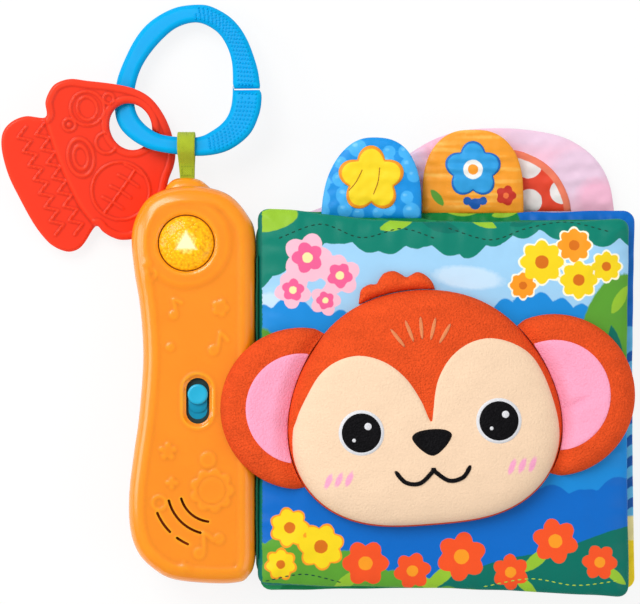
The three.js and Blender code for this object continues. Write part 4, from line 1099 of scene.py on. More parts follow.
def beads(name: str, places: np.ndarray, along: np.ndarray, facing: np.ndarray,
          size: tuple[float, float, float], finish: Finish) -> bpy.types.Object:
    """Set beads or stitches on points with the shared Geometry Nodes tree.

    Args:
        name: Name of the piece.
        places: Middle of each bead.
        along: Direction of each bead's length.
        facing: Direction in which each bead stands up.
        size: Length, width and thickness.
        finish: Finish of the beads.

    Returns:
        One plain mesh object.
    """
    mesh = bpy.data.meshes.new(name)
    mesh.from_pydata((places * MM).tolist(), [], [])
    for label, values in (("along", along), ("facing", facing)):
        given = mesh.attributes.new(label, "FLOAT_VECTOR", "POINT")
        given.data.foreach_set("vector", np.broadcast_to(values, places.shape).astype(np.float32).ravel())
    obj = placed(name, mesh)
    modifier = obj.modifiers.new("beads", "NODES")
    tree = bead_tree()
    modifier.node_group = tree
    sockets = {item.name: item.identifier for item in tree.interface.items_tree
               if item.in_out == "INPUT"}
    for label, value in zip(BEAD_SIZES, size):
        modifier[sockets[label]] = value * MM
    modifier[sockets["Material"]] = finish.material()
    obj = applied(obj)
    for label in ("along", "facing"):
        if label in obj.data.attributes:
            obj.data.attributes.remove(obj.data.attributes[label])
    return obj


class Surface:
    """The upper side of a finished piece, to lay stitches on."""

    def __init__(self, *pieces: bpy.types.Object) -> None:
        """Keep a search tree of each piece."""
        self.trees = [BVHTree.FromPolygons([tuple(v.co) for v in piece.data.vertices],
                                           [tuple(p.vertices) for p in piece.data.polygons])
                      for piece in pieces]

    def lay(self, flat: Flat, rise: float = 0.0) -> tuple[np.ndarray, np.ndarray]:
        """Drop points onto the surface.

        Args:
            flat: Places seen from above.
            rise: How far above the surface they end.

        Returns:
            The points and the surface's directions there. Points that miss are left out.
        """
        places, facing = [], []
        for x, y in flat:
            start = Vector((x * MM, y * MM, RAY_START * MM))
            hits = [tree.ray_cast(start, Vector((0, 0, -1))) for tree in self.trees]
            hits = [hit for hit in hits if hit[0] is not None]
            if hits:
                place, normal, _, _ = max(hits, key=lambda hit: hit[0].z)
                facing.append(np.array(normal))
                places.append(np.array(place) / MM + np.array(normal) * rise)
        return np.array(places), np.array(facing)

    def stitches(self, name: str, line: Flat, finish: Finish, length: float, pitch: float,
                 width: float, thick: float) -> bpy.types.Object:
        """Sew a dashed line along a path over the surface.

        Args:
            name: Name of the piece.
            line: The path seen from above.
            finish: Finish of the thread.
            length: Length of each stitch.
            pitch: Distance from one stitch to the next.
            width: Width of the thread.
            thick: How far it stands up.

        Returns:
            The stitches as one object.
        """
        marks = spaced(line, pitch, False)
        places, facing = self.lay(marks, thick * 0.15)
        ahead = at_height(unit(np.gradient(marks, axis=0)), 0.0)
        return beads(name, places, ahead[:len(places)], facing, (length, width, thick), finish)


# Colours and finishes of this book

def thread(name: str, colour: tuple[int, int, int], relief: float = 0.04) -> Cloth:
    """Give the finish of a sewing thread."""
    return Cloth(name, colour, roughness=0.7, pitch=0.3, relief=relief)


# shade paints shade into the creases and highlights onto the ridges of the handle, ring and teether
ORANGE_PLASTIC = Moulded("orange handle plastic", (255, 142, 8), roughness=0.36, coat=1.0, depth=0.1,
                         gloss=0.25, shade=0.5)
DOOR_PLASTIC = Moulded("orange door plastic", (250, 144, 20), roughness=0.42, coat=0.15)
AMBER_LENS = Lens("amber lens", (255, 186, 24), centre=(-2.3, 63.5), radius=12.4)
# The seal's dark red also paints the shade in the gap between the lens and the shell.
SEAL_AND_GAP_SHADE = Moulded("dark red button seal and gap shade", (120, 34, 10), roughness=0.5, coat=0.0)
CYAN_PLASTIC = Moulded("cyan knob plastic", (16, 176, 216), roughness=0.34, coat=0.3)
# The tail's darker cyan is painted shade for its place down in the slot.
SHADED_TAIL_PLASTIC = Moulded("shaded cyan tail plastic", (6, 142, 180), roughness=0.4, coat=0.1, gloss=0.2)
# The plate is dark, and its colour also paints the shade in the gap round the knob and its tail.
DARK_PLATE_AND_GAP_SHADE = Moulded("dark switch plate and gap shade", (44, 60, 58), roughness=0.6, coat=0.0, gloss=0.2)
RING_PLASTIC = Moulded("blue ring plastic", (0, 158, 222), roughness=0.45, coat=0.06, gloss=0.04, shade=0.3)
TEETHER_RUBBER = Moulded("red teether rubber", (250, 58, 30), roughness=0.45, coat=0.12, grain=0.03,
                         gloss=0.2, shade=0.34)
# The cone's brown also paints the orange light bounced inside the shell, seen through the sound slots.
CONE_AND_BOUNCED_LIGHT = Moulded("brown speaker cone and bounced light", (150, 58, 26), roughness=0.8, coat=0.0, gloss=0.1)
LAMP_PLASTIC = Moulded("milky lamp plastic", (244, 240, 220), roughness=0.2, coat=0.5)
DARK_PLASTIC = Moulded("dark part plastic", (38, 38, 42), roughness=0.55, coat=0.0, grain=0.05)
BOARD = Moulded("circuit board lacquer", (24, 98, 52), roughness=0.4, coat=0.3, grain=0.05)
STEEL = Metal("bright steel", (170, 172, 176))
LIME_TAPE = Cloth("lime ribbon tape", (186, 205, 44), roughness=0.75, pitch=0.8, relief=0.2, uneven=0.34)
LIME_THREAD = thread("lime thread", (146, 170, 36), 0.05)
SPINE_CLOTH = Cloth("green spine cloth", (8, 92, 62), roughness=0.75, pitch=0.5, relief=0.08, uneven=0.2)


@dataclass
class Studio:
    """The camera over the middle of the photograph, soft lamps and a pale floor."""

    centre_x: float = 57.6
    centre_y: float = 37.1
    distance: float = 1500.0
    view_width: float = 292.9
    sensor: float = 36.0
    floor_size: float = 6000.0
    floor_drop: float = 0.4
    key_power: float = 10.0
    fill_power: float = 2.8
    rim_power: float = 4.4
    ambient: float = 0.64
    mirrored: float = 0.18
    floor_share: float = 0.84

    def build(self) -> None:
        """Make the camera, the lamps, the surroundings and the floor."""
        scene = bpy.context.scene
        scene.view_settings.view_transform = "Standard"
        camera = bpy.data.cameras.new("camera")
        camera.sensor_width = self.sensor
        camera.lens = self.sensor * self.distance / self.view_width
        camera.clip_end = 20.0
        scene.camera = placed("camera", camera)
        scene.camera.location = (self.centre_x * MM, self.centre_y * MM, self.distance * MM)
        self.lamp("key lamp", (-0.6, 0.75, 1.1), 0.7, self.key_power)
        self.lamp("fill lamp", (1.1, -0.5, 1.0), 0.9, self.fill_power)
        self.lamp("rim lamp", (-1.25, 0.15, 0.75), 0.6, self.rim_power)
        self.surroundings()
        self.floor()

    def lamp(self, name: str, place: tuple[float, float, float], size: float, power: float) -> None:
        """Hang a soft square lamp that faces the book."""
        light = bpy.data.lights.new(name, "AREA")
        light.size = size
        light.energy = power
        holder = placed(name, light)
        holder.location = Vector((self.centre_x * MM, 0.0, 0.0)) + Vector(place)
        holder.rotation_euler = (-Vector(place)).to_track_quat("-Z", "Y").to_euler()

    def backdrop(self, graph: Graph) -> object:
        """Give 1 where a ray sees the background itself, straight on or through something."""
        path = graph.node("ShaderNodeLightPath")
        return graph.math("MAXIMUM", path.outputs["Is Camera Ray"], path.outputs["Is Transmission Ray"])

    def surroundings(self) -> None:
        """Fill the room with even pale light that is dimmer where gloss mirrors it."""
        world = bpy.data.worlds.new("room")
        bpy.context.scene.world = world
        world.use_nodes = True
        graph = Graph(world.node_tree)
        mirror = graph.node("ShaderNodeLightPath").outputs["Is Glossy Ray"]
        level = graph.math("MULTIPLY_ADD", mirror, self.mirrored - self.ambient, self.ambient)
        graph.feed(world.node_tree.nodes["Background"], {
            "Color": (1.0, 1.0, 1.0, 1.0), "Strength": graph.math("MAXIMUM", self.backdrop(graph), level)})

    def floor(self) -> None:
        """Lay the pale floor, which keeps a faint shadow of the book."""
        half, drop = self.floor_size / 2 * MM, -self.floor_drop * MM
        mesh = bpy.data.meshes.new("floor")
        mesh.from_pydata([(x * half, y * half, drop) for x, y in ((-1, -1), (1, -1), (1, 1), (-1, 1))], [],
                         [(0, 1, 2, 3)])
        made = bpy.data.materials.new("pale floor")
        made.use_nodes = True
        nodes = made.node_tree.nodes
        graph = Graph(made.node_tree)
        shader = graph.feed(nodes["Principled BSDF"], {
            "Base Color": (0.92, 0.92, 0.92, 1.0), "Roughness": 1.0})
        light = graph.node("ShaderNodeEmission", {"Strength": 1.0})
        share = graph.math("MULTIPLY", self.backdrop(graph), self.floor_share)
        both_ways = graph.node("ShaderNodeMixShader", {0: share, 1: shader.outputs[0], 2: light.outputs[0]})
        graph.feed(nodes["Material Output"], {"Surface": both_ways.outputs[0]})
        mesh.materials.append(made)
        obj = placed("floor", mesh)


HANDLE_SHARES = [
    (1, -0.85), (1, -0.4), (1, 0), (1, 0.4), (0.99, 0.74), (0.86, 0.86), (0.56, 0.96), (0.1, 1),
    (-0.35, 0.99), (-0.68, 0.94), (-0.87, 0.85), (-0.95, 0.74), (-0.91, 0.58), (-0.82, 0.4), (-0.77, 0.2),
    (-0.78, 0.04), (-0.84, -0.18), (-0.92, -0.36), (-0.99, -0.56), (-0.97, -0.73), (-0.84, -0.85),
    (-0.6, -0.93), (-0.31, -0.98), (0.18, -1), (0.66, -1), (0.88, -0.97),
]


@dataclass
class Handle:
    """The rigid light and sound handle: two shells, a door in its back and what they hold."""

    width: float = 57.2
    length: float = 178.4
    thickness: float = 32.0
    wall: float = 2.2
    front_round: float = 6.5
    rear_round: float = 7.0
    parting: float = 16.0
    gap: float = 0.3
    button: tuple[float, float, float] = (-2.3, 63.5, 12.8)
    slot: tuple[float, float, float] = (2.8, -7.2, 5.2)
    slot_reach: float = 5.1
    sound: tuple[float, float] = (9.2, -47.1)
    sound_arcs: tuple = ((14.3, 196, 263), (19.9, 194, 255), (26.6, 203, 225), (26.6, 234, 246))
    sound_width: float = 1.2
    screws: tuple = ((18.5, 60.0), (-19.5, 52.0), (20.0, -80.0), (-20.0, -66.0))
    door: tuple[float, float, float, float] = (-13.45, -69.15, 13.45, -10.85)
    door_screw: float = -67.15
    boss_x: float = -2.9
    boss_top: float = 93.4
    boss_half: float = 6.4
    boss_round: float = 4.6

    def outline(self) -> Flat:
        """Give the outline, straight along the leaves."""
        points = from_shares(HANDLE_SHARES, self.width / 2, self.length / 2, 0.0, 0.0, 1.4)
        points[:, 0] = np.minimum(points[:, 0], self.width / 2)
        return points

    def figures(self) -> Distance:
        """Give the low raised figures on the face: notes, a star, spots and a plain sunburst."""
        return union(
            without(blossom(9.2, -47.3, 9.0, 9, 0.1), rim_of(disc(9.2, -47.3, 6.2), 0.7)),
            disc(7.4, -33.6, 3.4), note(10.4, 18.6, 9.0, -8), note(-8.6, 33.8, 7.5, 14),
            blossom(-10.6, -29.8, 3.2, 5, 0.3, 18), rim_of(disc(-14.4, -53.0, 3.0), 1.1),
            blossom(-8.8, -44.0, 2.1, 4, 0.3), note(3.6, -72.0, 10.0, 0), disc(12.4, -69.0, 2.3),
            disc(-19.6, 54.4, 1.9), rim_of(disc(-18.0, 49.6, 2.1), 0.9), blossom(13.0, 34.5, 3.4, 5, 0.14),
            disc(-9.4, 16.8, 1.8), blossom(-3.0, -82.0, 2.3, 5, 0.3, 30),
        )

    def face(self, flat: Flat, depth: np.ndarray) -> np.ndarray:
        """Give the height of the glossy face.

        Args:
            flat: Places seen from above.
            depth: Distance of each from the outline.

        Returns:
            The height of each place.
        """
        tall = self.thickness - self.front_round + edge_round(depth, self.front_round)
        tall -= 0.45 * ease(depth, 6.4, 8.2)
        reach = np.hypot(flat[:, 0] - self.button[0], flat[:, 1] - self.button[1])
        collar = ease(reach, 21.5, 17.8)
        tall += 0.7 * collar * ease(depth, 2.0, 7.5)
        tall -= 0.75 * ease(reach, self.button[2] + 1.1, self.button[2])
        slot_edge = np.where(inside(flat, self.slot_line()), 0.0, edge_distance(flat, self.slot_line()))
        tall -= 0.85 * ease(slot_edge, 1.5, 0.5)
        tall += 0.3 * ease(slot_edge, 3.4, 2.0) * ease(slot_edge, 0.9, 1.8)
        near = self.figures()(flat)
        return tall + 0.36 * ease(-near, -0.8, 0.5) * ease(depth, 1.5, 4.0)

    def slot_line(self) -> Flat:
        """Give the outline of the switch slot."""
        x, y, half = self.slot
        turn = np.linspace(0, math.pi, 14)
        ends = [np.column_stack([x + sign * half * np.cos(turn),
                                 y + sign * (self.slot_reach + half * np.sin(turn))]) for sign in (1, -1)]
        return np.vstack(ends)

    def sound_slot(self, radius: float, start: float, end: float) -> Flat:
        """Give the outline of one curved sound slot with round ends."""
        turn = np.radians(np.linspace(start, end, 26))
        middle, out = around(*self.sound, radius, turn), around(0.0, 0.0, 1.0, turn)
        half = self.sound_width / 2
        bend = np.radians(np.linspace(30, 150, 5))[:, None]
        tips = []
        for index, sign in ((-1, 1.0), (0, -1.0)):
            ahead = sign * np.array([-out[index][1], out[index][0]])
            tips.append(middle[index] + half * (sign * np.cos(bend) * out[index] + np.sin(bend) * ahead))
        return np.vstack([middle + out * half, tips[0], (middle - out * half)[::-1], tips[1]])

    def front_shell(self) -> bpy.types.Object:
        """Build the front shell with its face, openings and raised figures."""
        def ceiling(_: Flat, depth: np.ndarray) -> np.ndarray:
            """Give the height of the hollow's top, and of the rim beside it."""
            hollow = self.thickness - self.front_round + edge_round(depth, self.front_round, 0.1) - self.wall
            return np.where(depth < self.wall + 0.05, self.parting + self.gap / 2, hollow - 0.5)
        holes = (circle(*self.button, 1.0), self.slot_line(),
                 *[self.sound_slot(*arc) for arc in self.sound_arcs])
        rows = (0.04, 0.15, 0.4, 0.8, 1.4, 2.2, 2.3, 3.2, 4.4, 5.6, 6.6, 7.4, 8.3)
        body = Body("front_shell")
        body.add(plate(self.outline(), self.face, ceiling, 0.8, rows, holes, (0.35,), 2.5), ORANGE_PLASTIC)
        body.add(self.boss(self.parting + self.gap / 2, 24.8, 1.0), ORANGE_PLASTIC)
        return body.build()

    def boss(self, seam: float, far: float, side: float) -> Skin:
        """Build one half of the boss that clamps the ribbon.

        Args:
            seam: Height of the parting seam.
            far: Height of its far face.
            side: 1 for the front half and -1 for the rear half.

        Returns:
            Its skin.
        """
        shares = [(-1, -1), (-0.99, -0.35), (-0.86, 0.36), (-0.56, 0.82), (-0.2, 0.96), (0.2, 0.96),
                  (0.62, 0.8), (0.98, 0.38), (1.26, -0.1), (1.42, -0.8), (0, -1.1)]
        middle = self.boss_top - self.boss_half
        line = from_shares(shares[::-1], 10.2, self.boss_half, self.boss_x, middle, 1.0)
        share = min(1.0, abs(far - seam) / 5)

        def dome(_: Flat, depth: np.ndarray) -> np.ndarray:
            """Round the far face off."""
            return far - side * (self.boss_round - edge_round(depth, self.boss_round)) * share
        upper, lower = (dome, level_face(seam)) if side > 0 else (level_face(seam), dome)
        return plate(line, upper, lower, 1.2, (0.1, 0.4, 0.9, 1.6, 2.6, 3.8))

    def rear_shell(self) -> bpy.types.Object:
        """Build the rear shell with its door opening, screw posts and rounded back."""
        def back(_: Flat, depth: np.ndarray) -> np.ndarray:
            """Give the height of the back."""
            return self.rear_round - edge_round(depth, self.rear_round)

        def hollow(_: Flat, depth: np.ndarray) -> np.ndarray:
            """Give the height of the hollow's floor, and of the rim beside it."""
            floor = self.rear_round - edge_round(depth, self.rear_round, 0.1) + self.wall
            return np.where(depth < self.wall + 0.05, self.parting - self.gap / 2, np.minimum(floor, 12.0))
        left, bottom, right, top = self.door
        opening = rounded(left - self.gap, bottom - self.gap, right + self.gap, top + self.gap, 3.0)
        wells = [circle(x, y, 2.5, 0.6) for x, y in self.screws]
        rows = (0.04, 0.15, 0.4, 0.8, 1.4, 2.2, 2.3, 3.2, 4.4, 5.6, 6.8)
        post = [(2.5, 0.6), (3.4, 0.6), (3.4, 15.5), (1.2, 15.5), (1.2, 4.2), (2.5, 4.2)]
        skin = plate(self.outline(), hollow, back, 2.4, rows, (opening, *wells), (0.3,), 0.8)
        body = Body("rear_shell").add(skin, ORANGE_PLASTIC)
        body.add(self.boss(self.parting - self.gap / 2, 7.2, -1.0), ORANGE_PLASTIC)
        for x, y in self.screws:
            body.add(lathe(post, x, y, 24, closed=True), ORANGE_PLASTIC)
        return body.build()

    def battery_door(self) -> bpy.types.Object:
        """Build the door with finger ridges, a coin-smooth edge and its screw well."""
        left, bottom, right, top = self.door

        def outer(flat: Flat, depth: np.ndarray) -> np.ndarray:
            """Give the height of the outer face, with ridges near the screw end."""
            ridge = 0.45 * np.clip(np.sin((flat[:, 1] - bottom) * math.tau / 2.6), 0, 1)
            zone = ease(flat[:, 1], -26.0, -24.0) * ease(flat[:, 1], -15.6, -17.0) * ease(depth, 4.0, 5.5)
            return 0.5 * (1 - ease(depth, 0.0, 0.6)) + ridge * zone * (np.abs(flat[:, 0]) < 8.5)
        line = rounded(left, bottom, right, top, 2.7)
        hole = circle(0.0, self.door_screw, 1.1, 0.4)
        skin = plate(line, level_face(1.9), outer, 2.2, (0.1, 0.3, 0.6), (hole,), (0.3,), 0.32)
        return Body("ridged_battery_door").add(skin, DOOR_PLASTIC).build()

    def build(self) -> None:
        """Build the handle's own pieces and dress the parts that it holds."""
        for make, node in ((self.front_shell, "handle_front_shell"), (self.rear_shell, "handle_rear_shell"),
                           (self.battery_door, "battery_door")):
            hand_over(make(), "handle", "handle_plastic", node)
        carried = {
            STEEL: ("battery_door_screw", "shell_screw_1", "shell_screw_2", "shell_screw_3", "shell_screw_4",
                    "battery_1", "battery_2", "upper_battery_contact", "lower_battery_contact"),
            BOARD: ("circuit_board",), LAMP_PLASTIC: ("lamp",),
            DARK_PLASTIC: ("press_switch", "slide_switch", "spine_clamp_bar"), CONE_AND_BOUNCED_LIGHT: ("speaker",),
        }
        for finish, names in carried.items():
            for name in names:
                dress(name, finish)


def dress(node: str, finish: Finish) -> None:
    """Give a carried-over CAD node a finish."""
    obj = bpy.data.objects[node]
    if not obj.material_slots:
        obj.data.materials.append(finish.material())
    for place in obj.material_slots:
        place.material = finish.material()


@dataclass
class LightButton:
    """The clear amber push button and the dark seal around it, whose dark red also paints the shade in the
    gap round the lens.
    """

    x: float = -2.3
    y: float = 63.5
    radius: float = 12.2
    foot: float = 25.0
    rim: float = 31.4
    top: float = 35.2
    seal: float = 12.7

    def build(self) -> None:
        """Build the lens and its seal as one piece."""
        share = np.linspace(0, 1, 12)
        dome = [(self.radius * math.cos(s * math.pi / 2),
                 self.rim + (self.top - self.rim) * math.sin(s * math.pi / 2) ** 0.9) for s in share[:-1]]
        lens = [(self.radius + 0.2, self.foot), (self.radius + 0.2, 29.0), (self.radius, 30.2), *dome,
                (0.4, self.top)]
        seal = [(self.radius + 0.22, 26.5), (self.seal, 26.5), (self.seal, 30.9), (self.radius + 0.22, 31.0)]
        body = Body("light_button_lens").add(lathe(lens, self.x, self.y, 96), AMBER_LENS)
        body.add(lathe(seal, self.x, self.y, 72, closed=True), SEAL_AND_GAP_SHADE)
        hand_over(body.build(60.0), "light_button", "amber_plastic", "light_button")


@dataclass
class SoundSwitch:
    """The cyan slide knob with its tail in the slot, the tail in a darker cyan of painted shade."""

    x: float = 2.8
    top_y: float = 0.3
    radius: float = 4.55
    tail: float = 12.9
    foot: float = 15.8
    low: float = 28.1
    tail_top: float = 30.2
    plate_top: float = 5.2
    plate_bottom: float = -18.4
    knob_top: float = 31.95
    plate_width: float = 13.6

    def build(self) -> None:
        """Build the knob, its tail and the plate that slides under the shell."""
        y = self.top_y - self.radius
        knob = [(self.radius - 0.2, self.low + 1.0), (self.radius, 30.6), (self.radius, 31.3),
                (self.radius - 0.12, 31.6), (self.radius - 0.5, 31.86), (self.radius - 1.0, self.knob_top),
                (self.radius - 1.4, self.knob_top - 0.05), (0.3, self.knob_top - 0.3)]
        body = Body("sound_switch_knob").add(lathe(knob, self.x, y, 56), CYAN_PLASTIC)
        half = self.radius - 0.35

        def flat_at(height: float, lip: float = 0.0) -> Height:
            """Give a level face with a small round edge."""
            return lambda _, depth: height - lip * (1 - ease(depth, 0.0, 0.8))

        def tongue(far: float, near: float) -> Flat:
            """Outline a part of the tail by how far its ends lie below the knob's top."""
            return rounded(self.x - half, self.top_y - far, self.x + half, self.top_y - near, half - 0.05, 0,
                           0.6)
        # Painted shade: the tail and its foot take the darker cyan.
        body.add(plate(tongue(self.tail, 0.4), flat_at(self.tail_top, 0.4), flat_at(self.low + 0.5), 1.4,
                       (0.2, 0.5)), SHADED_TAIL_PLASTIC)
        body.add(plate(tongue(self.foot, 6.0), flat_at(29.2, 0.1), flat_at(self.low + 0.3), 1.4),
                 SHADED_TAIL_PLASTIC)
        # The dark plate also paints the shade in the gap round the knob.
        wide = self.plate_width / 2
        base = rounded(self.x - wide, self.plate_bottom, self.x + wide, self.plate_top, 2.0)
        body.add(plate(base, flat_at(29.0), flat_at(self.low), 3.0), DARK_PLATE_AND_GAP_SHADE)
        hand_over(body.build(), "switch_knob", "cyan_plastic", "switch_knob")


RING_OUTER_SHARES = [
    (1, -0.26), (0.98, -0.08), (0.93, 0.19), (0.79, 0.55), (0.6, 0.8), (0.34, 0.96), (0.13, 1), (-0.19, 0.96),
    (-0.5, 0.8), (-0.71, 0.58), (-0.88, 0.26), (-0.98, -0.03), (-1, -0.38), (-0.94, -0.6), (-0.78, -0.77),
    (-0.54, -0.9), (-0.22, -0.97), (0.2, -1), (0.55, -0.93), (0.83, -0.73), (0.96, -0.48),
]
RING_INNER_SHARES = [
    (0.61, -0.08), (0.59, 0.26), (0.48, 0.53), (0.32, 0.69), (0.09, 0.77), (-0.19, 0.69), (-0.45, 0.46),
    (-0.64, 0.19), (-0.73, -0.08), (-0.74, -0.3), (-0.68, -0.48), (-0.52, -0.64), (-0.31, -0.73),
    (0.11, -0.76), (0.34, -0.67), (0.51, -0.53), (0.59, -0.35),
]


@dataclass
class LinkRing:
    """The blue split ring, smooth on its left and beaded on its right half."""

    width: float = 66.8
    height: float = 69.2
    thickness: float = 6.2
    chamfer: float = 1.5
    x: float = -2.232
    y: float = 137.87
    hang_x: float = -2.9
    hang_y: float = 107.7
    level: float = 16.0
    climb_x: float = 0.145
    climb_y: float = -0.16
    split_y: float = 133.37
    split: float = 0.8
    bead: float = 1.15

    def plane(self, flat: Flat) -> np.ndarray:
        """Give the height of the ring's middle plane."""
        across, up = (flat - (self.hang_x, self.hang_y)).T
        return self.level + across * self.climb_x + up * self.climb_y

    def loops(self, step: float) -> tuple[Flat, Flat]:
        """Give the outer and the inner loop, seen from above."""
        return tuple(from_shares(shares, self.width / 2, self.height / 2, self.x, self.y, step)
                     for shares in (RING_OUTER_SHARES, RING_INNER_SHARES))

    def band(self) -> Flat:
        """Give the outline of the band with its split cut open.

        Returns:
            One closed loop, counter-clockwise, with rounded ends at the split.
        """
        outer, inner = self.loops(0.9)
        cut = math.atan2(self.split_y - self.y, self.width / 2)
        parts = []
        for loop in (outer, inner):
            turn = (np.arctan2(loop[:, 1] - self.y, loop[:, 0] - self.x) - cut) % math.tau
            loop = loop[np.argsort(turn)]
            clear = ~((loop[:, 0] > self.x) & (np.abs(loop[:, 1] - self.split_y) < self.split / 2 + 0.9))
            parts.append(loop[clear])
        low_y, high_y = self.split_y - self.split / 2, self.split_y + self.split / 2
        right, left = outer[:, 0].max() - 0.9, inner[:, 0].max() + 0.6
        first = np.column_stack([np.linspace(left, right, 8), np.full(8, high_y)])
        last = np.column_stack([np.linspace(right, left, 8), np.full(8, low_y)])
        return np.vstack([parts[0], last, parts[1][::-1], first])

    def build(self) -> None:
        """Build the band and its beads."""
        def face(side: float) -> Height:
            """Give one side of the band with its soft chamfer."""
            def height(flat: Flat, depth: np.ndarray) -> np.ndarray:
                """Give the height of each place."""
                lip = np.clip(self.chamfer + 0.6 - depth, 0, None) / (self.chamfer + 0.6)
                return self.plane(flat) + side * (self.thickness / 2 - self.chamfer * lip ** 1.7)
            return height
        line = self.band()
        skin = plate(line, face(1.0), face(-1.0), 1.3, (0.25, 0.6, 1.1, 1.7, 2.3))
        hand_over(Body("link_ring_band").add(skin, RING_PLASTIC).build(50.0), "link_ring", "ring_plastic",
                  "link_ring")
        outer, inner = self.loops(0.6)
        places = []
        for row, share in enumerate(np.linspace(0.2, 0.8, 6)):
            middle = []
            for point in outer:
                near = inner[np.argmin(np.hypot(*(inner - point).T))]
                middle.append(point * (1 - share) + near * share)
            places.append(spaced(np.array(middle), 2.0)[row % 2:])
        flat = np.vstack(places)
        turn = np.degrees(np.arctan2(flat[:, 1] - self.y, flat[:, 0] - self.x))
        flat = flat[(turn < 84) & (turn > -72) & (np.abs(flat[:, 1] - self.split_y) > 1.7)]
        tall = self.plane(flat) + self.thickness / 2
        dots = beads("link_ring_beads", np.column_stack([flat, tall]), np.array((1.0, 0.0, self.climb_x)),
                     np.array((-self.climb_x, -self.climb_y, 1.0)), (self.bead, self.bead, 0.7), RING_PLASTIC)
        hand_over(dots, "link_ring", "ring_plastic")


TEETHER_SHARES = [
    (1, 0.17), (0.95, 0.41), (0.85, 0.63), (0.71, 0.8), (0.52, 0.9), (0.28, 0.95), (0, 0.98), (-0.2, 1),
    (-0.36, 0.95), (-0.44, 0.86), (-0.49, 0.73), (-0.49, 0.56), (-0.72, 0.57), (-0.89, 0.5), (-0.99, 0.37),
    (-1, 0.17), (-0.93, -0.11), (-0.81, -0.37), (-0.65, -0.67), (-0.5, -0.87), (-0.38, -0.96), (-0.25, -1),
    (-0.14, -0.97), (-0.06, -0.89), (0.07, -0.7), (0.16, -0.77), (0.26, -0.83), (0.38, -0.86), (0.55, -0.82),
    (0.78, -0.6), (0.88, -0.32), (0.92, -0.15), (0.98, 0.01),
]


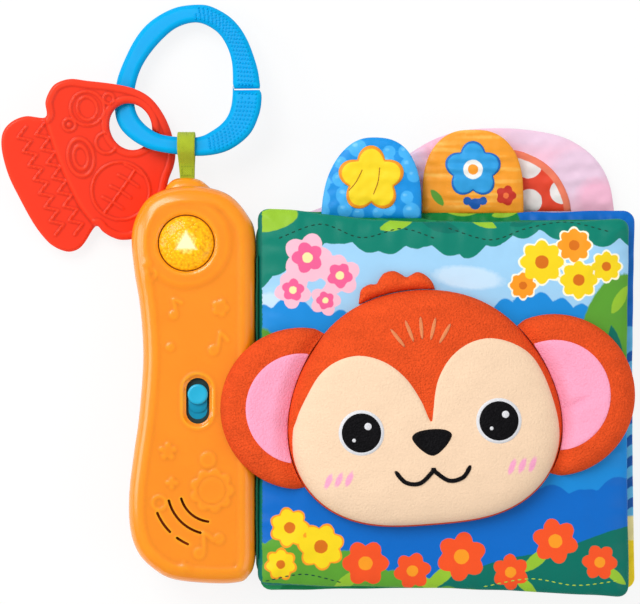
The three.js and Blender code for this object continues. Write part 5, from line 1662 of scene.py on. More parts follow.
@dataclass
class Teether:
    """The red rubber teether: a raised body over a lower lobe, with soft embossing on both sides."""

    size: float = 77.8
    thickness: float = 4.8
    round: float = 1.6
    x: float = -47.3
    y: float = 98.9
    level: float = 11.39
    climb_x: float = -0.168
    climb_y: float = 0.158
    hole: tuple[float, float, float, float, float] = (-28.4, 116.7, 9.5, 10.7, 22.0)
    gap: float = 0.45
    step_down: float = 1.7

    def plane(self, flat: Flat) -> np.ndarray:
        """Give the height of the teether's middle plane."""
        return self.level + (flat[:, 0] - self.x) * self.climb_x + (flat[:, 1] - self.y) * self.climb_y

    def figures(self) -> Distance:
        """Give the raised lines: rings, ovals and a round frame with a plain sprig in it."""
        stalk = np.array([(-40.5, 77.5), (-36.6, 82.6), (-33.0, 87.6), (-29.4, 92.6), (-26.4, 97.4)])
        blades = [stroke([tuple(knot), tuple(knot + reach)], 0.7)
                  for knot in stalk[1:] for reach in (np.array((-4.6, 2.2)), np.array((4.4, -3.0)))]
        sprig = union(stroke([tuple(knot) for knot in stalk], 0.7), *blades)
        return union(rim_of(disc(-47.6, 124.6, 7.6), 0.75), rim_of(oval(-47.6, 124.6, 4.4, 5.2, 12), 0.65),
                     rim_of(disc(-38.0, 129.0, 2.3), 0.8), rim_of(disc(-55.7, 117.2, 2.7), 0.9),
                     disc(-55.7, 117.2, 0.9), rim_of(oval(-50.7, 102.6, 5.8, 8.4, 8), 0.9),
                     rim_of(oval(-50.7, 102.6, 3.2, 5.2, 8), 0.8), rim_of(disc(-39.2, 109.2, 4.7), 0.9),
                     rim_of(disc(-33.0, 87.6, 13.0), 0.8), sprig)

    def zigzags(self) -> Distance:
        """Give the two zigzag rows along the lobe."""
        rows = []
        for start, end in (((-77.6, 115.4), (-60.2, 68.4)), ((-69.6, 116.8), (-51.6, 68.6))):
            a, b = np.array(start), np.array(end)
            across = np.array([b[1] - a[1], a[0] - b[0]]) / np.linalg.norm(b - a)
            rows.append(np.array([a + (b - a) * i / 15 + across * (2.7 if i % 2 else -2.7)
                                  for i in range(16)]))
        return lambda flat: np.minimum.reduce([edge_distance(flat, row, False) for row in rows]) - 0.35

    def build(self, ring: LinkRing) -> None:
        """Build the teether, pressed clear of the ring that passes through it."""
        line = from_shares(TEETHER_SHARES, self.size / 2, self.size / 2, self.x, self.y, 1.1)
        hole_x, hole_y, half_x, half_y, turn = self.hole
        across, up = circle(0, 0, 1, 0.11).T
        cos, sin = math.cos(math.radians(turn)), math.sin(math.radians(turn))
        hole = np.column_stack([hole_x + across * half_x * cos - up * half_y * sin,
                                hole_y + across * half_x * sin + up * half_y * cos])
        groove = smooth_curve(np.array([(-68.0, 126.0), (-66.5, 119.0), (-62.5, 106.0), (-58.0, 94.0),
                                        (-51.5, 80.5), (-45.0, 72.0), (-42.0, 66.0)]), 0.8, False)
        figures, zigzags, loops = self.figures(), self.zigzags(), ring.loops(1.0)

        def lobe(flat: Flat) -> np.ndarray:
            """Give 1 on the lower lobe and 0 on the body, with a soft step between them."""
            gap = edge_distance(flat, groove, False)
            edge = np.interp(flat[:, 1], groove[::-1, 1], groove[::-1, 0])
            return ease(np.where(flat[:, 0] < edge, gap, -gap), -0.5, 0.7)

        def face(side: float) -> Height:
            """Give one side of the teether."""
            def height(flat: Flat, depth: np.ndarray) -> np.ndarray:
                """Give the height of each place."""
                depth = np.minimum(depth, edge_distance(flat, hole))
                lip = np.clip(self.round - depth, 0, None) / self.round
                half = self.thickness / 2 - 0.25 - 1.1 * lip ** 2
                low = lobe(flat)
                gap = edge_distance(flat, groove, False)
                half -= (self.step_down if side > 0 else 0.1) * low
                half -= 0.5 * ease(gap, 1.3, 0.2) * (1 - low)
                half += 0.6 * ease(depth, 3.4, 2.6) * (1 - low)
                half += 0.7 * ease(-figures(flat), -0.4, 0.4) * (1 - low)
                half += 0.8 * ease(-zigzags(flat), -0.4, 0.4) * low * ease(depth, 1.2, 2.4)
                return self.clear(flat, self.plane(flat) + side * half, side, ring, loops)
            return height
        rows = (0.1, 0.35, 0.8, 1.4)
        body = Body("teether_rubber")
        body.add(plate(line, face(1.0), face(-1.0), 0.5, rows, (hole,), rows, 1.25), TEETHER_RUBBER)
        hand_over(body.build(60.0), "teether", "teether_rubber", "teether")

    def clear(self, flat: Flat, tall: np.ndarray, side: float, ring: LinkRing,
              loops: tuple[Flat, Flat]) -> np.ndarray:
        """Press a side of the teether in where the ring lies against it.

        Args:
            flat: Places seen from above.
            tall: Heights of the side.
            side: 1 for the upper side and -1 for the lower.
            ring: The ring.
            loops: The ring's outer and inner loop.

        Returns:
            The heights, clear of the ring.
        """
        outer, inner = loops
        away = np.where(inside(flat, outer) & ~inside(flat, inner), 0.0,
                        np.minimum(edge_distance(flat, outer), edge_distance(flat, inner)))
        level = ring.plane(flat)
        over, near = level > self.plane(flat), away < 3.5
        reach = ring.thickness / 2 + self.gap
        if side > 0:
            return np.where(near & over, np.minimum(tall, level - reach + 3.0 * away), tall)
        return np.where(near & ~over, np.maximum(tall, level + reach - 3.0 * away), tall)


@dataclass
class Ribbon:
    """The lime tape that loops through the ring and is clamped in the handle's boss."""

    x: float = -2.9
    width: float = 8.0
    thickness: float = 1.0
    level: float = 16.0
    foot: float = 84.6
    centre: float = 107.7
    radius: float = 6.0
    stitch_y: float = 96.4

    def path(self) -> np.ndarray:
        """Give the tape's middle line in the plane along the handle: out, round and back."""
        rise = self.thickness / 2 + 0.05
        start = math.asin((rise + 0.6) / self.radius)
        turn = np.linspace(-math.pi + start, math.pi - start, 40)
        loop = around(self.centre, self.level, self.radius, turn)
        neck = [(self.foot, self.level - rise), (self.foot + 5, self.level - rise),
                (self.centre - self.radius * 1.55, self.level - rise - 0.1)]
        back = [(y, 2 * self.level - z) for y, z in neck[::-1]]
        return smooth_curve(np.array([*neck, *loop[3:-3:3], *back]), 0.7, False)

    def build(self) -> None:
        """Build the tape with its rounded selvedges and its stitched box."""
        path = self.path()
        normal = left_of(unit(np.gradient(path, axis=0)))
        half, thick = self.width / 2, self.thickness / 2
        section = []
        for side in (-1, 1):
            ribs = side * np.linspace(half - 0.7, -half + 0.7, 12)
            section += [(side * half, 0.0), (side * (half - 0.25), side * thick * 0.8)]
            section += [(x, side * thick * (0.8 + 0.2 * math.cos(x * 4.2))) for x in ribs]
            section += [(side * (0.25 - half), side * thick * 0.8)]
        narrow = np.interp(path[:, 0], (self.foot + 6.5, self.centre - 2.0), (0.8, 1.0))
        rings = [np.array([(self.x + x * share + 2.6 * (1 - share), point[0] + n[0] * z, point[1] + n[1] * z)
                           for x, z in section]) for point, n, share in zip(path, normal, narrow)]
        tape = Body("ribbon_tape").add(loft(rings), LIME_TAPE).build(60.0)
        hand_over(tape, "handle", "ribbon", "ribbon_loop")
        box = np.array([(-2.4, -2.0), (2.4, -2.0), (2.4, 2.0), (-2.4, 2.0)]) + (self.x + 0.35, self.stitch_y)
        sides = np.roll(box, -1, axis=0)
        runs = [spaced(np.array(ends), 1.25, False)[:-1] for ends in zip(box, sides)]
        ahead = np.repeat(unit(sides - box), [len(run) for run in runs], axis=0)
        sewn = beads("ribbon_stitches", at_height(np.vstack(runs), self.level + self.thickness + 0.12),
                     at_height(ahead, 0.0), np.array((0.0, 0.0, 1.0)), (1.0, 0.35, 0.3), LIME_THREAD)
        hand_over(sewn, "handle", "ribbon")


# Cloth leaves and their prints

TEAL, DARK_TEAL, LIME, GREEN = (0, 128, 108), (0, 114, 98), (150, 196, 50), (92, 162, 50)
SKY, BLUE, COBALT, DEEP_BLUE = (158, 208, 242), (20, 140, 220), (0, 106, 200), (0, 88, 176)
RUST, BRICK, SUN, AMBER = (246, 84, 34), (204, 46, 28), (246, 214, 26), (250, 156, 32)
ROSE, BLUSH, CREAM_PRINT = (240, 98, 150), (248, 190, 208), (250, 236, 170)


def cover_print() -> tuple[Layer, ...]:
    """Give the flower garden printed on the cover, from the lowest colour to the highest."""
    canopy = [(20, 40), (34, 47), (50, 60), (66, 66), (84, 60), (104, 64), (122, 58), (140, 66), (158, 70),
              (176, 62), (192, 66), (210, 60)]
    far = [(20, 30), (44, 36), (70, 30), (96, 37), (124, 30), (152, 40), (180, 32), (210, 38)]
    deep = [(20, -40), (60, -46), (100, -60), (140, -44), (176, -50), (210, -36)]
    left_hill = [(20, -74), (40, -70), (60, -72), (84, -82), (110, -92), (210, -104)]
    right_hill = [(20, -120), (90, -100), (116, -86), (140, -78), (164, -74), (186, -66), (210, -60)]
    rim = below([(20, -88.0), (76, -91.6), (84, -91.9), (120, -92.7), (190, -95.2), (210, -96.0)])
    yellows = [(44.0, -64.0, 7.6), (58.0, -72.5, 9.0), (40.0, -80.5, 6.0)]
    pinks = [(52.0, 57.0, 8.8), (66.5, 49.0, 7.2), (45.5, 42.5, 6.4), (60.0, 37.8, 5.2)]
    golds = [(157.0, 55.0, 9.0), (171.5, 62.5, 7.0), (173.5, 47.0, 7.8), (148.5, 44.5, 5.4),
             (186.0, 53.0, 6.2)]
    reds = [(78.0, -80.0, 9.4), (99.0, -83.5, 7.6), (121.0, -77.0, 10.0), (143.0, -84.0, 7.4),
            (163.0, -70.0, 9.2), (183.0, -79.5, 7.2)]
    return (
        Layer((196, 226, 248), union(oval(124.0, 48.0, 15.0, 5.0, -6), oval(36.0, 36.0, 12.0, 5.0)), 1.6,
              1.5),
        Layer(BLUE, below(far, 9.0, 3.0), 0.6),
        Layer(COBALT, below(deep, 13.0, 3.0), 0.5),
        Layer(TEAL, without(disc(110.0, 60.0, 200.0), below(canopy, 12.0, -2.6)), 0.35),
        Layer(GREEN, union(oval(190.0, 20.0, 16.0, 30.0, -10), oval(34.0, 2.0, 12.0, 24.0, 12)), 0.7, 1.4),
        Layer(DARK_TEAL, union(leaflet(190.0, 14.0, 26.0, 7.0, 98), leaflet(112.0, 71.0, 18.0, 5.4, -14),
                               leaflet(150.0, 74.0, 16.0, 5.0, 20), below(right_hill))),
        Layer(GREEN, below(left_hill, 11.0, 2.2), 0.6, 1.0),
        Layer(LIME, union(*[leaflet(x - 0.9 * r, y - 0.9 * r, 2.0 * r, 0.62 * r, 40)
                            for x, y, r in reds[::2]],
                          *[leaflet(x + 0.9 * r, y - 0.8 * r, 2.0 * r, 0.62 * r, 140)
                            for x, y, r in reds[1::2]],
                          leaflet(92.0, 72.0, 17.0, 5.4, 16), leaflet(130.0, 73.5, 15.0, 5.0, -24),
                          leaflet(192.0, 38.0, 15.0, 5.0, 60), oval(36.0, 74.0, 12.0, 5.0, 14))),
        Layer((255, 250, 226), flowers(golds, 8, 0.12, growth=0.8)),
        Layer(RUST, flowers(reds, 6, 0.15, 11)),
        Layer(AMBER, union(spots(reds, 0.34), flowers(yellows, 7, 0.12, 18, growth=0.9),
                           flowers(golds[1::2], 8, 0.12))),
        Layer(SUN, union(flowers(yellows, 7, 0.12, 18), flowers(golds[0::2], 8, 0.12))),
        Layer(BLUSH, flowers(pinks, 5, 0.16, 24, growth=1.1)),
        Layer(ROSE, flowers(pinks, 5, 0.16, 24, 36, share=0.72)),
        Layer(CREAM_PRINT, spots(pinks, 0.27)),
        Layer((216, 112, 20), spots(golds + yellows, 0.34)),
        Layer(DARK_TEAL, union(rim, below([(20, 1000), (28, 1000), (31.4, 1000), (31.5, -1000),
                                           (210, -1000)]))),
    )


def third_leaf_print() -> tuple[Layer, ...]:
    """Give the print of the third leaf, which shows along the top and the right side."""
    waves = [both(without(disc(200, -30, 400), below_level(8 - 9.5 * i, 7.0, 2.5)),
                  below_level(12.5 - 9.5 * i, 7.0, 2.5)) for i in range(8)]
    return (
        Layer(COBALT, without(disc(200, 60, 300), disc(90, 60, 60)), 0.8),
        Layer((96, 182, 232), below_level(24, 12.0, 2.0), 0.6),
        Layer(DEEP_BLUE, union(*waves), 0.5),
        Layer((240, 226, 160), below_level(-60), 0.6),
        Layer(SUN, below_level(-71), 0.6),
        Layer(LIME, union(leaflet(121.0, 78.6, 17.0, 5.0, -6), leaflet(142.0, 77.6, 14.0, 4.0, 12)), 0.4),
    )


def spotted(colour: tuple[int, int, int], seed: int) -> tuple[Layer, ...]:
    """Give large soft spots over a leaf's whole face.

    Args:
        colour: Colour of the spots.
        seed: Picks their places.

    Returns:
        One layer.
    """
    pick = np.random.default_rng(seed)
    places = [(x + pick.uniform(-5, 5), y + pick.uniform(-5, 5), pick.uniform(3, 6))
              for x in range(40, 200, 22) for y in range(-86, 80, 22)]
    return (Layer(colour, spots(places), 0.6),)


def satin(name: str, colour: tuple[int, int, int], layers: tuple[Layer, ...],
          roughness: float = 0.42) -> Cloth:
    """Give the satin of a leaf's face with its print."""
    return Cloth(name, colour, roughness=roughness, pitch=0.34, relief=0.012, sheen=0.0, gloss=0.2,
                 layers=layers, uneven=0.04)


COVER_SATIN = satin("printed cover satin", SKY, cover_print(), 0.4)
THIRD_SATIN = satin("printed page satin", (0, 132, 62), third_leaf_print())
SECOND_SATIN = satin("green page satin", (0, 128, 74), spotted((30, 150, 90), 3))
BACK_SATIN = satin("green back satin", (0, 122, 98), spotted((26, 146, 116), 5))
PINK_PAGE = satin("pink page satin", (236, 178, 208), spotted((246, 206, 224), 7))
GREEN_THREAD = thread("dark green thread", (6, 74, 56))
LIME_STITCH = thread("lime stitch thread", (176, 208, 70))


def inflate(obj: bpy.types.Object, held: np.ndarray, pressure: float, frames: int, cap: float) -> None:
    """Blow a closed cloth body up a little with the cloth simulation and keep the result.

    Args:
        obj: The body.
        held: True for each point that is sewn and stays where it is.
        pressure: Pressure inside.
        frames: Number of frames to run.
        cap: The most that a point may move.
    """
    group = obj.vertex_groups.new(name="sewn")
    group.add([int(i) for i in np.flatnonzero(held)], 1.0, "REPLACE")
    modifier = obj.modifiers.new("cloth", "CLOTH")
    values = {
        "quality": 5, "mass": 0.2, "tension_stiffness": 12.0, "compression_stiffness": 12.0,
        "shear_stiffness": 5.0, "bending_stiffness": 0.15, "use_pressure": True,
        "uniform_pressure_force": pressure, "vertex_group_mass": "sewn",
    }
    for label, value in values.items():
        setattr(modifier.settings, label, value)
    modifier.settings.effector_weights.gravity = 0.0
    modifier.collision_settings.use_self_collision = False
    before = vectors(obj)
    for number in range(1, frames + 1):
        bpy.context.scene.frame_set(number)
    after = vectors(obj.evaluated_get(bpy.context.evaluated_depsgraph_get()))
    obj.modifiers.remove(modifier)
    obj.vertex_groups.remove(group)
    bpy.context.scene.frame_set(1)
    motion = np.nan_to_num(after - before)
    reach = np.linalg.norm(motion, axis=1)
    motion *= (np.minimum(reach, cap * MM) / np.maximum(reach, 1e-9))[:, None]
    obj.data.vertices.foreach_set("co", (before + motion).ravel())
    obj.data.update()


@dataclass
class Leaf:
    """One padded cloth leaf: two printed faces over crinkle film and wadding, sewn round its edge."""

    name: str
    low: float
    thickness: float
    width: float
    top: float
    front: Cloth
    back: Cloth
    seed: int
    simulated: bool = False
    left: float = 30.3
    bottom: float = -93.5
    corner: float = 5.5
    draw: float = 1.1
    spacing: float = 2.3
    step: float = 2.0
    pucker: float = 0.55
    pressure: float = 1.6
    frames: int = 14
    most_swell: float = 1.6
    top_shift: tuple = ((0.0, 0.0),)
    bottom_shift: tuple = ((0.0, 0.0),)

    @property
    def seam(self) -> float:
        """Give the height of the seam."""
        return self.low + self.thickness / 2

    def outline(self) -> Flat:
        """Give the sewn edge, slightly uneven."""
        line = rounded(self.left, self.bottom, self.left + self.width, self.top, self.corner, self.draw,
                       self.step)
        line = inset(line, 0.25) + ripple(line, 21.0, self.seed)[:, None] * 0.22 * np.array((0.4, 1.0))
        for knots, end in ((self.top_shift, self.top), (self.bottom_shift, self.bottom)):
            across, change = np.array(knots).T
            near = ease(np.abs(line[:, 1] - end), 60.0, 4.0)
            line[:, 1] += np.interp(line[:, 0], across, change) * near
        return line

    def swell(self, flat: Flat, depth: np.ndarray) -> np.ndarray:
        """Give how far a face stands off the seam, with puckers that run in from the edge.

        Args:
            flat: Places seen from above.
            depth: Distance of each from the sewn edge.

        Returns:
            The height of each above the seam.
        """
        rise = (1.0 - np.exp(-depth / 6.4)) ** 0.72
        side_gap = np.minimum(flat[:, 0] - self.left, self.left + self.width - flat[:, 0])
        end_gap = np.minimum(flat[:, 1] - self.bottom, self.top - flat[:, 1])
        run = np.where(side_gap < end_gap, flat[:, 1], flat[:, 0])
        folds = np.sin(run * math.tau / 11.0 + 2.4 * ripple(flat, 60.0, self.seed + 1))
        folds += 0.5 * np.sin(run * math.tau / 5.3 + 3.0 * ripple(flat, 40.0, self.seed + 2))
        fade = np.exp(-depth / 9.0) * (1 - np.exp(-depth / 1.6))
        waves = 0.5 * ripple(flat, 46.0, self.seed + 3) * (1 - np.exp(-depth / 12.0))
        return self.thickness / 2 * rise + self.pucker * folds * fade + waves * self.thickness / 18

    def build(self, *nodes: str) -> bpy.types.Object:
        """Build the leaf in place of its four CAD layers.

        Args:
            nodes: The CAD nodes that it stands for.

        Returns:
            The finished leaf.
        """
        line = self.outline()
        points, faces = plate(line, lambda flat, depth: self.seam + 0.02 + self.swell(flat, depth),
                              lambda flat, depth: self.seam - 0.02 - self.swell(flat + 31.0, depth),
                              self.spacing, (0.35, 1.0, 1.9, 3.2), coarse=1.5)
        points[:, 2] = np.clip(points[:, 2], self.low, self.low + self.thickness)
        upper, lower = [], []
        for face in faces:
            (upper if points[list(face), 2].mean() >= self.seam - 0.01 else lower).append(face)
        obj = Body(self.name + "_pad").add((points, upper), self.front).cover(lower, self.back).build(180.0)
        if self.simulated:
            held = edge_distance(vectors(obj)[:, :2] / MM, line) < 0.6
            inflate(obj, held, self.pressure, self.frames, self.most_swell)
            places = vectors(obj)
            places[:, 2] = np.clip(places[:, 2], self.low * MM, (self.low + self.thickness + 0.2) * MM)
            obj.data.vertices.foreach_set("co", places.ravel())
            obj.modifiers.new("finer", "SUBSURF").levels = 1
            obj = self.front.paint(applied(obj))
        hand_over(obj, self.name, "cover_print" if self.simulated else "leaf_print", *nodes)
        return obj


DOME_SHARES = [
    (1, 0), (0.995, 0.25), (0.96, 0.5), (0.84, 0.72), (0.62, 0.89), (0.34, 0.98), (0, 1), (-0.34, 0.98),
    (-0.62, 0.89), (-0.84, 0.72), (-0.96, 0.5), (-0.995, 0.25), (-1, 0),
]
ARCH_SHARES = [
    (1, 0), (1, 0.28), (0.96, 0.5), (0.86, 0.7), (0.68, 0.87), (0.42, 0.97), (0.1, 1), (-0.2, 0.98),
    (-0.46, 0.89), (-0.7, 0.72), (-0.87, 0.5), (-0.96, 0.26), (-1, 0),
]
PINK_SHARES = [
    (1, 0), (0.97, 0.34), (0.9, 0.6), (0.78, 0.8), (0.62, 0.93), (0.36, 1), (0.08, 0.99), (-0.12, 0.9),
    (-0.3, 0.72), (-0.5, 0.46), (-0.75, 0.18), (-1, 0),
]


@dataclass
class Tab:
    """A padded tab that stands out of a leaf's top edge."""

    name: str
    body: str
    slot: str
    shares: list
    x: float
    width: float
    height: float
    base: float
    seam: float
    front: Cloth
    crease: float
    seed: int
    thickness: float = 3.4

    def outline(self) -> Flat:
        """Give the outline, with a straight foot."""
        knots = np.array(self.shares) * (self.width / 2, self.height) + (self.x, self.base)
        line = smooth_curve(knots, 1.2, False)
        foot = np.linspace(line[-1], line[0], int(self.width / 1.6))[1:-1]
        return np.vstack([line, foot])

    def top(self, flat: Flat, depth: np.ndarray) -> np.ndarray:
        """Give the height of the upper face, creased by the crinkle film."""
        rise = (1.0 - np.exp(-depth / 2.2)) ** 0.7
        folds = ripple(flat * np.array((0.5, 1.6)), 9.0, self.seed) * 0.5
        folds += ripple(flat, 5.5, self.seed + 4) * 0.25
        return self.seam + 0.02 + self.thickness / 2 * (rise * 0.86 + self.crease * folds * rise)

    def build(self) -> bpy.types.Object:
        """Build the tab in place of its CAD node."""
        skin = plate(self.outline(), self.top,
                     lambda flat, depth: 2 * self.seam - self.top(flat + 17.0, depth), 1.25, (0.3, 0.8, 1.5),
                     coarse=1.6)
        obj = Body(self.name + "_pad").add(skin, self.front).build(180.0)
        hand_over(obj, self.body, self.slot, self.name)
        return obj

    def patch(self, node: str, slot: str, line: Flat, finish: Cloth, thick: float = 0.75) -> bpy.types.Object:
        """Build a cloth patch that is sewn on the tab.

        Args:
            node: CAD node that it stands for.
            slot: Material slot of the record.
            line: Its outline.
            finish: Its cloth.
            thick: How far it stands up.

        Returns:
            The patch.
        """
        edge = self.outline()

        def over(flat: Flat, depth: np.ndarray) -> np.ndarray:
            """Follow the tab and stand off it, with a puffed middle."""
            ground = self.top(flat, edge_distance(flat, edge))
            return ground + 0.1 + thick * ease(depth, -0.3, 1.3)

        def under(flat: Flat, _: np.ndarray) -> np.ndarray:
            """Lie just in the tab's face."""
            return self.top(flat, edge_distance(flat, edge)) - 0.15
        skin = plate(line, over, under, 1.0, (0.25, 0.7), coarse=1.6)
        obj = Body(node + "_cloth").add(skin, finish).build(70.0)
        hand_over(obj, self.body, slot, node)
        return obj


def tab_finishes() -> dict[str, Cloth]:
    """Give the cloths of the tabs and their patches."""
    pick = np.random.default_rng(11)
    bubbles = [(x + pick.uniform(-2, 2), y + pick.uniform(-2, 2), pick.uniform(2.4, 4.2))
               for x in np.arange(60, 104, 7.6) for y in np.arange(78, 113, 7.2)]
    streaks = [oval(127 + pick.uniform(-16, 16), y, pick.uniform(7, 15), 0.75, pick.uniform(-4, 4))
               for y in np.arange(80, 115, 2.9)]
    dots = [(152.6, 99.4, 6.0), (153.2, 83.0, 5.6), (168.0, 87.4, 5.6), (138.0, 91.0, 5.6),
            (137.0, 105.0, 4.6), (124.0, 97.5, 5.2), (122.0, 83.0, 5.0)]
    shine = dict(pitch=0.34, relief=0.012, sheen=0.04, uneven=0.04, gloss=0.35)
    return {
        "blue": Cloth("bubble print", (0, 146, 228), roughness=0.45, **shine, layers=(
            Layer((64, 178, 246), spots(bubbles), 0.5),
            Layer((120, 204, 250), union(*[oval(x - r * 0.3, y + r * 0.35, r * 0.3, r * 0.22)
                                           for x, y, r in bubbles]), 0.8))),
        "orange": Cloth("streaked orange cloth", (248, 158, 34), roughness=0.5, **shine, layers=(
            Layer((252, 186, 78), union(*streaks), 0.9, 0.8),
            Layer(BRICK, blossom(142.0, 85.4, 4.2, 5, 0.18)),
            Layer((250, 120, 60), disc(142.0, 85.4, 1.4)),
            Layer(GREEN, leaflet(110.8, 84.5, 10.0, 3.6, -52)),
            Layer(DEEP_BLUE, union(disc(128.0, 81.6, 2.6), disc(124.4, 83.0, 1.9), disc(131.6, 83.0, 1.9))))),
        "pink": Cloth("crinkled pink satin", (250, 200, 222), roughness=0.3, **shine, layers=(
            Layer((236, 204, 226), union(oval(80, 92, 30, 12, 30), oval(176, 96, 14, 12, 20),
                                         oval(150, 112, 30, 5)), 6.0, 2.0),
            Layer((252, 190, 216), union(oval(122, 108, 20, 8, -10), oval(184, 84, 9, 9)), 5.0, 2.0))),
        "dots": Cloth("red cloth with white dots", (240, 70, 40), roughness=0.5, **shine, layers=(
            Layer((246, 240, 238), spots(dots)),
            Layer((246, 128, 96), rim_of(disc(141.6, 76.0, 29.0), 3.2)))),
        "star": Cloth("yellow applique cloth", (248, 216, 22), roughness=0.55, **shine, layers=(
            Layer((246, 152, 26), without(disc(80.7, 93.0, 40.0), blossom(80.7, 92.6, 12.0, 5, 0.17, 90))),)),
        "flower": Cloth("blue applique cloth", (40, 160, 226), roughness=0.55, **shine, layers=(
            Layer((14, 110, 196), without(disc(127.0, 96.0, 40.0), blossom(127.0, 97.2, 10.6, 5, 0.15, 90)),
                  0.4),
            Layer((244, 244, 240), disc(127.0, 97.2, 4.4)), Layer(AMBER, disc(127.0, 97.2, 2.4)))),
        "brown": thread("brown thread", (176, 106, 26)),
    }


def star_line(x: float, y: float, radius: float, petals: int, wave: float, degrees: float) -> Flat:
    """Outline a plump star or flower with round points, counter-clockwise."""
    turn = full_turn(120)
    reach = radius * (1.0 + wave * (2.0 * np.abs(np.cos((turn - math.radians(degrees)) * petals / 2)) - 1.2))
    return spaced(around(x, y, reach, turn), 0.8)


def build_tabs() -> None:
    """Build the three tabs with their patches and stitches."""
    cloths = tab_finishes()
    blue = Tab("blue_tab", "leaf_2", "blue_cloth", ARCH_SHARES, 80.7, 45.4, 36.8, 74.7, 18.55, cloths["blue"],
               0.35, 21)
    skin = Surface(blue.build(), blue.patch("blue_tab_patch", "yellow_cloth",
                                            star_line(80.7, 92.6, 13.4, 5, 0.17, 90), cloths["star"]))
    marks = ([(76.5, 96.5), (74.0, 91.5), (70.8, 87.6)], [(84.5, 97.5), (83.8, 91.5), (81.8, 86.0)])
    for index, knots in enumerate(marks):
        sewn = skin.stitches(f"star_stitches_{index + 1}", smooth_curve(np.array(knots), 0.4, False),
                             cloths["brown"], 0.9, 0.7, 0.45, 0.3)
        hand_over(sewn, "leaf_2", "embroidery")
    orange = Tab("orange_tab", "leaf_3", "orange_cloth", DOME_SHARES, 127.0, 46.1, 38.0, 77.3, 11.55,
                 cloths["orange"], 0.5, 33)
    orange.build()
    orange.patch("orange_tab_patch", "blue_cloth", star_line(127.0, 97.2, 11.6, 5, 0.15, 90),
                 cloths["flower"])
    pink = Tab("pink_dome", "back_leaf", "pink_satin", PINK_SHARES, 120.4, 143.3, 39.4, 76.8, 3.95,
               cloths["pink"], 0.5, 45)
    pink.build()
    turn = np.linspace(math.radians(4.5), math.pi - math.radians(4.5), 60)
    arc = around(141.6, 76.2, 30.5, turn)
    foot = np.linspace(arc[-1], arc[0], 40)[1:-1]
    pink.patch("dot_patch", "dotted_cloth", np.vstack([arc, foot]), cloths["dots"], 0.6)


# The plush head

RUST_PLUSH = Plush("rust plush", (232, 82, 34), sheen=0.2, speckle=0.22, pile=0.5)
EAR_LINING = Plush("pink lining plush", (255, 166, 196), sheen=0.15, speckle=0.09, pile=0.25)
CREAM_PLUSH = Plush("cream plush with cheeks", (243, 211, 179), sheen=0.12, speckle=0.06, pile=0.18, layers=(
    Layer((250, 168, 202), union(*[oval(x + step, y + step * 0.1, 1.3, 3.8, -22) for x, y in ((66.0, -42.0),
          (147.5, -35.5)) for step in (-4.6, 0.0, 4.6)]), 0.5),))
BLACK_THREAD = Plush("black embroidery", (16, 15, 18), sheen=0.06, speckle=0.5, pile=0.45, roughness=0.6)
WHITE_THREAD = Cloth("white satin stitch", (242, 242, 246), roughness=0.45, pitch=0.42, relief=0.12,
                     uneven=0.14)
TAN_THREAD = Cloth("tan embroidery", (246, 148, 92), roughness=0.6, pitch=0.36, relief=0.1, uneven=0.16)
MASK_LOBES = [
    (107.0, -16.3), (102.3, -6.5), (95.6, 3.3), (86.6, 10.2), (75.8, 13.2), (65.8, 11.0), (57.6, 4.8),
    (51.4, -5.5), (46.9, -15.5), (44.0, -28.0), (40.0, -90.0), (175.0, -90.0), (168.0, -32.0), (165.4, -18.0),
    (162.0, -6.5), (157.6, 5.0), (151.9, 13.5), (143.1, 18.9), (132.8, 21.0), (123.3, 18.5), (115.3, 12.0),
    (110.0, 2.4), (108.0, -8.5),
]
TUFT_KNOTS = [
    (109.0, 36.0), (108.6, 44.3), (105.4, 48.7), (101.4, 50.5), (98.4, 49.2), (96.2, 48.2), (93.8, 49.6),
    (90.4, 51.0), (86.4, 50.0), (84.2, 47.4), (82.8, 45.2), (79.6, 44.9), (76.4, 43.0), (75.4, 40.0),
    (75.8, 34.0), (85.0, 27.0), (100.0, 27.0),
]


def reach_of(outline: Flat, centre: tuple[float, float], turn: np.ndarray) -> np.ndarray:
    """Measure how far a closed outline lies from a centre in given directions.

    Args:
        outline: The outline.
        centre: A point within it.
        turn: Directions in radians.

    Returns:
        The distance in each direction.
    """
    start = outline - centre
    span = np.roll(start, -1, axis=0) - start
    out = around(0.0, 0.0, 1.0, turn)
    spread = out[:, :1] * span[:, 1] - out[:, 1:] * span[:, 0]
    spread = np.where(np.abs(spread) < 1e-12, 1e-12, spread)
    along = (start[:, 0] * span[:, 1] - start[:, 1] * span[:, 0]) / spread
    share = (start[:, 0] * out[:, 1:] - start[:, 1] * out[:, :1]) / spread
    return np.where((along > 0) & (share >= 0) & (share <= 1), along, 0).max(axis=1)


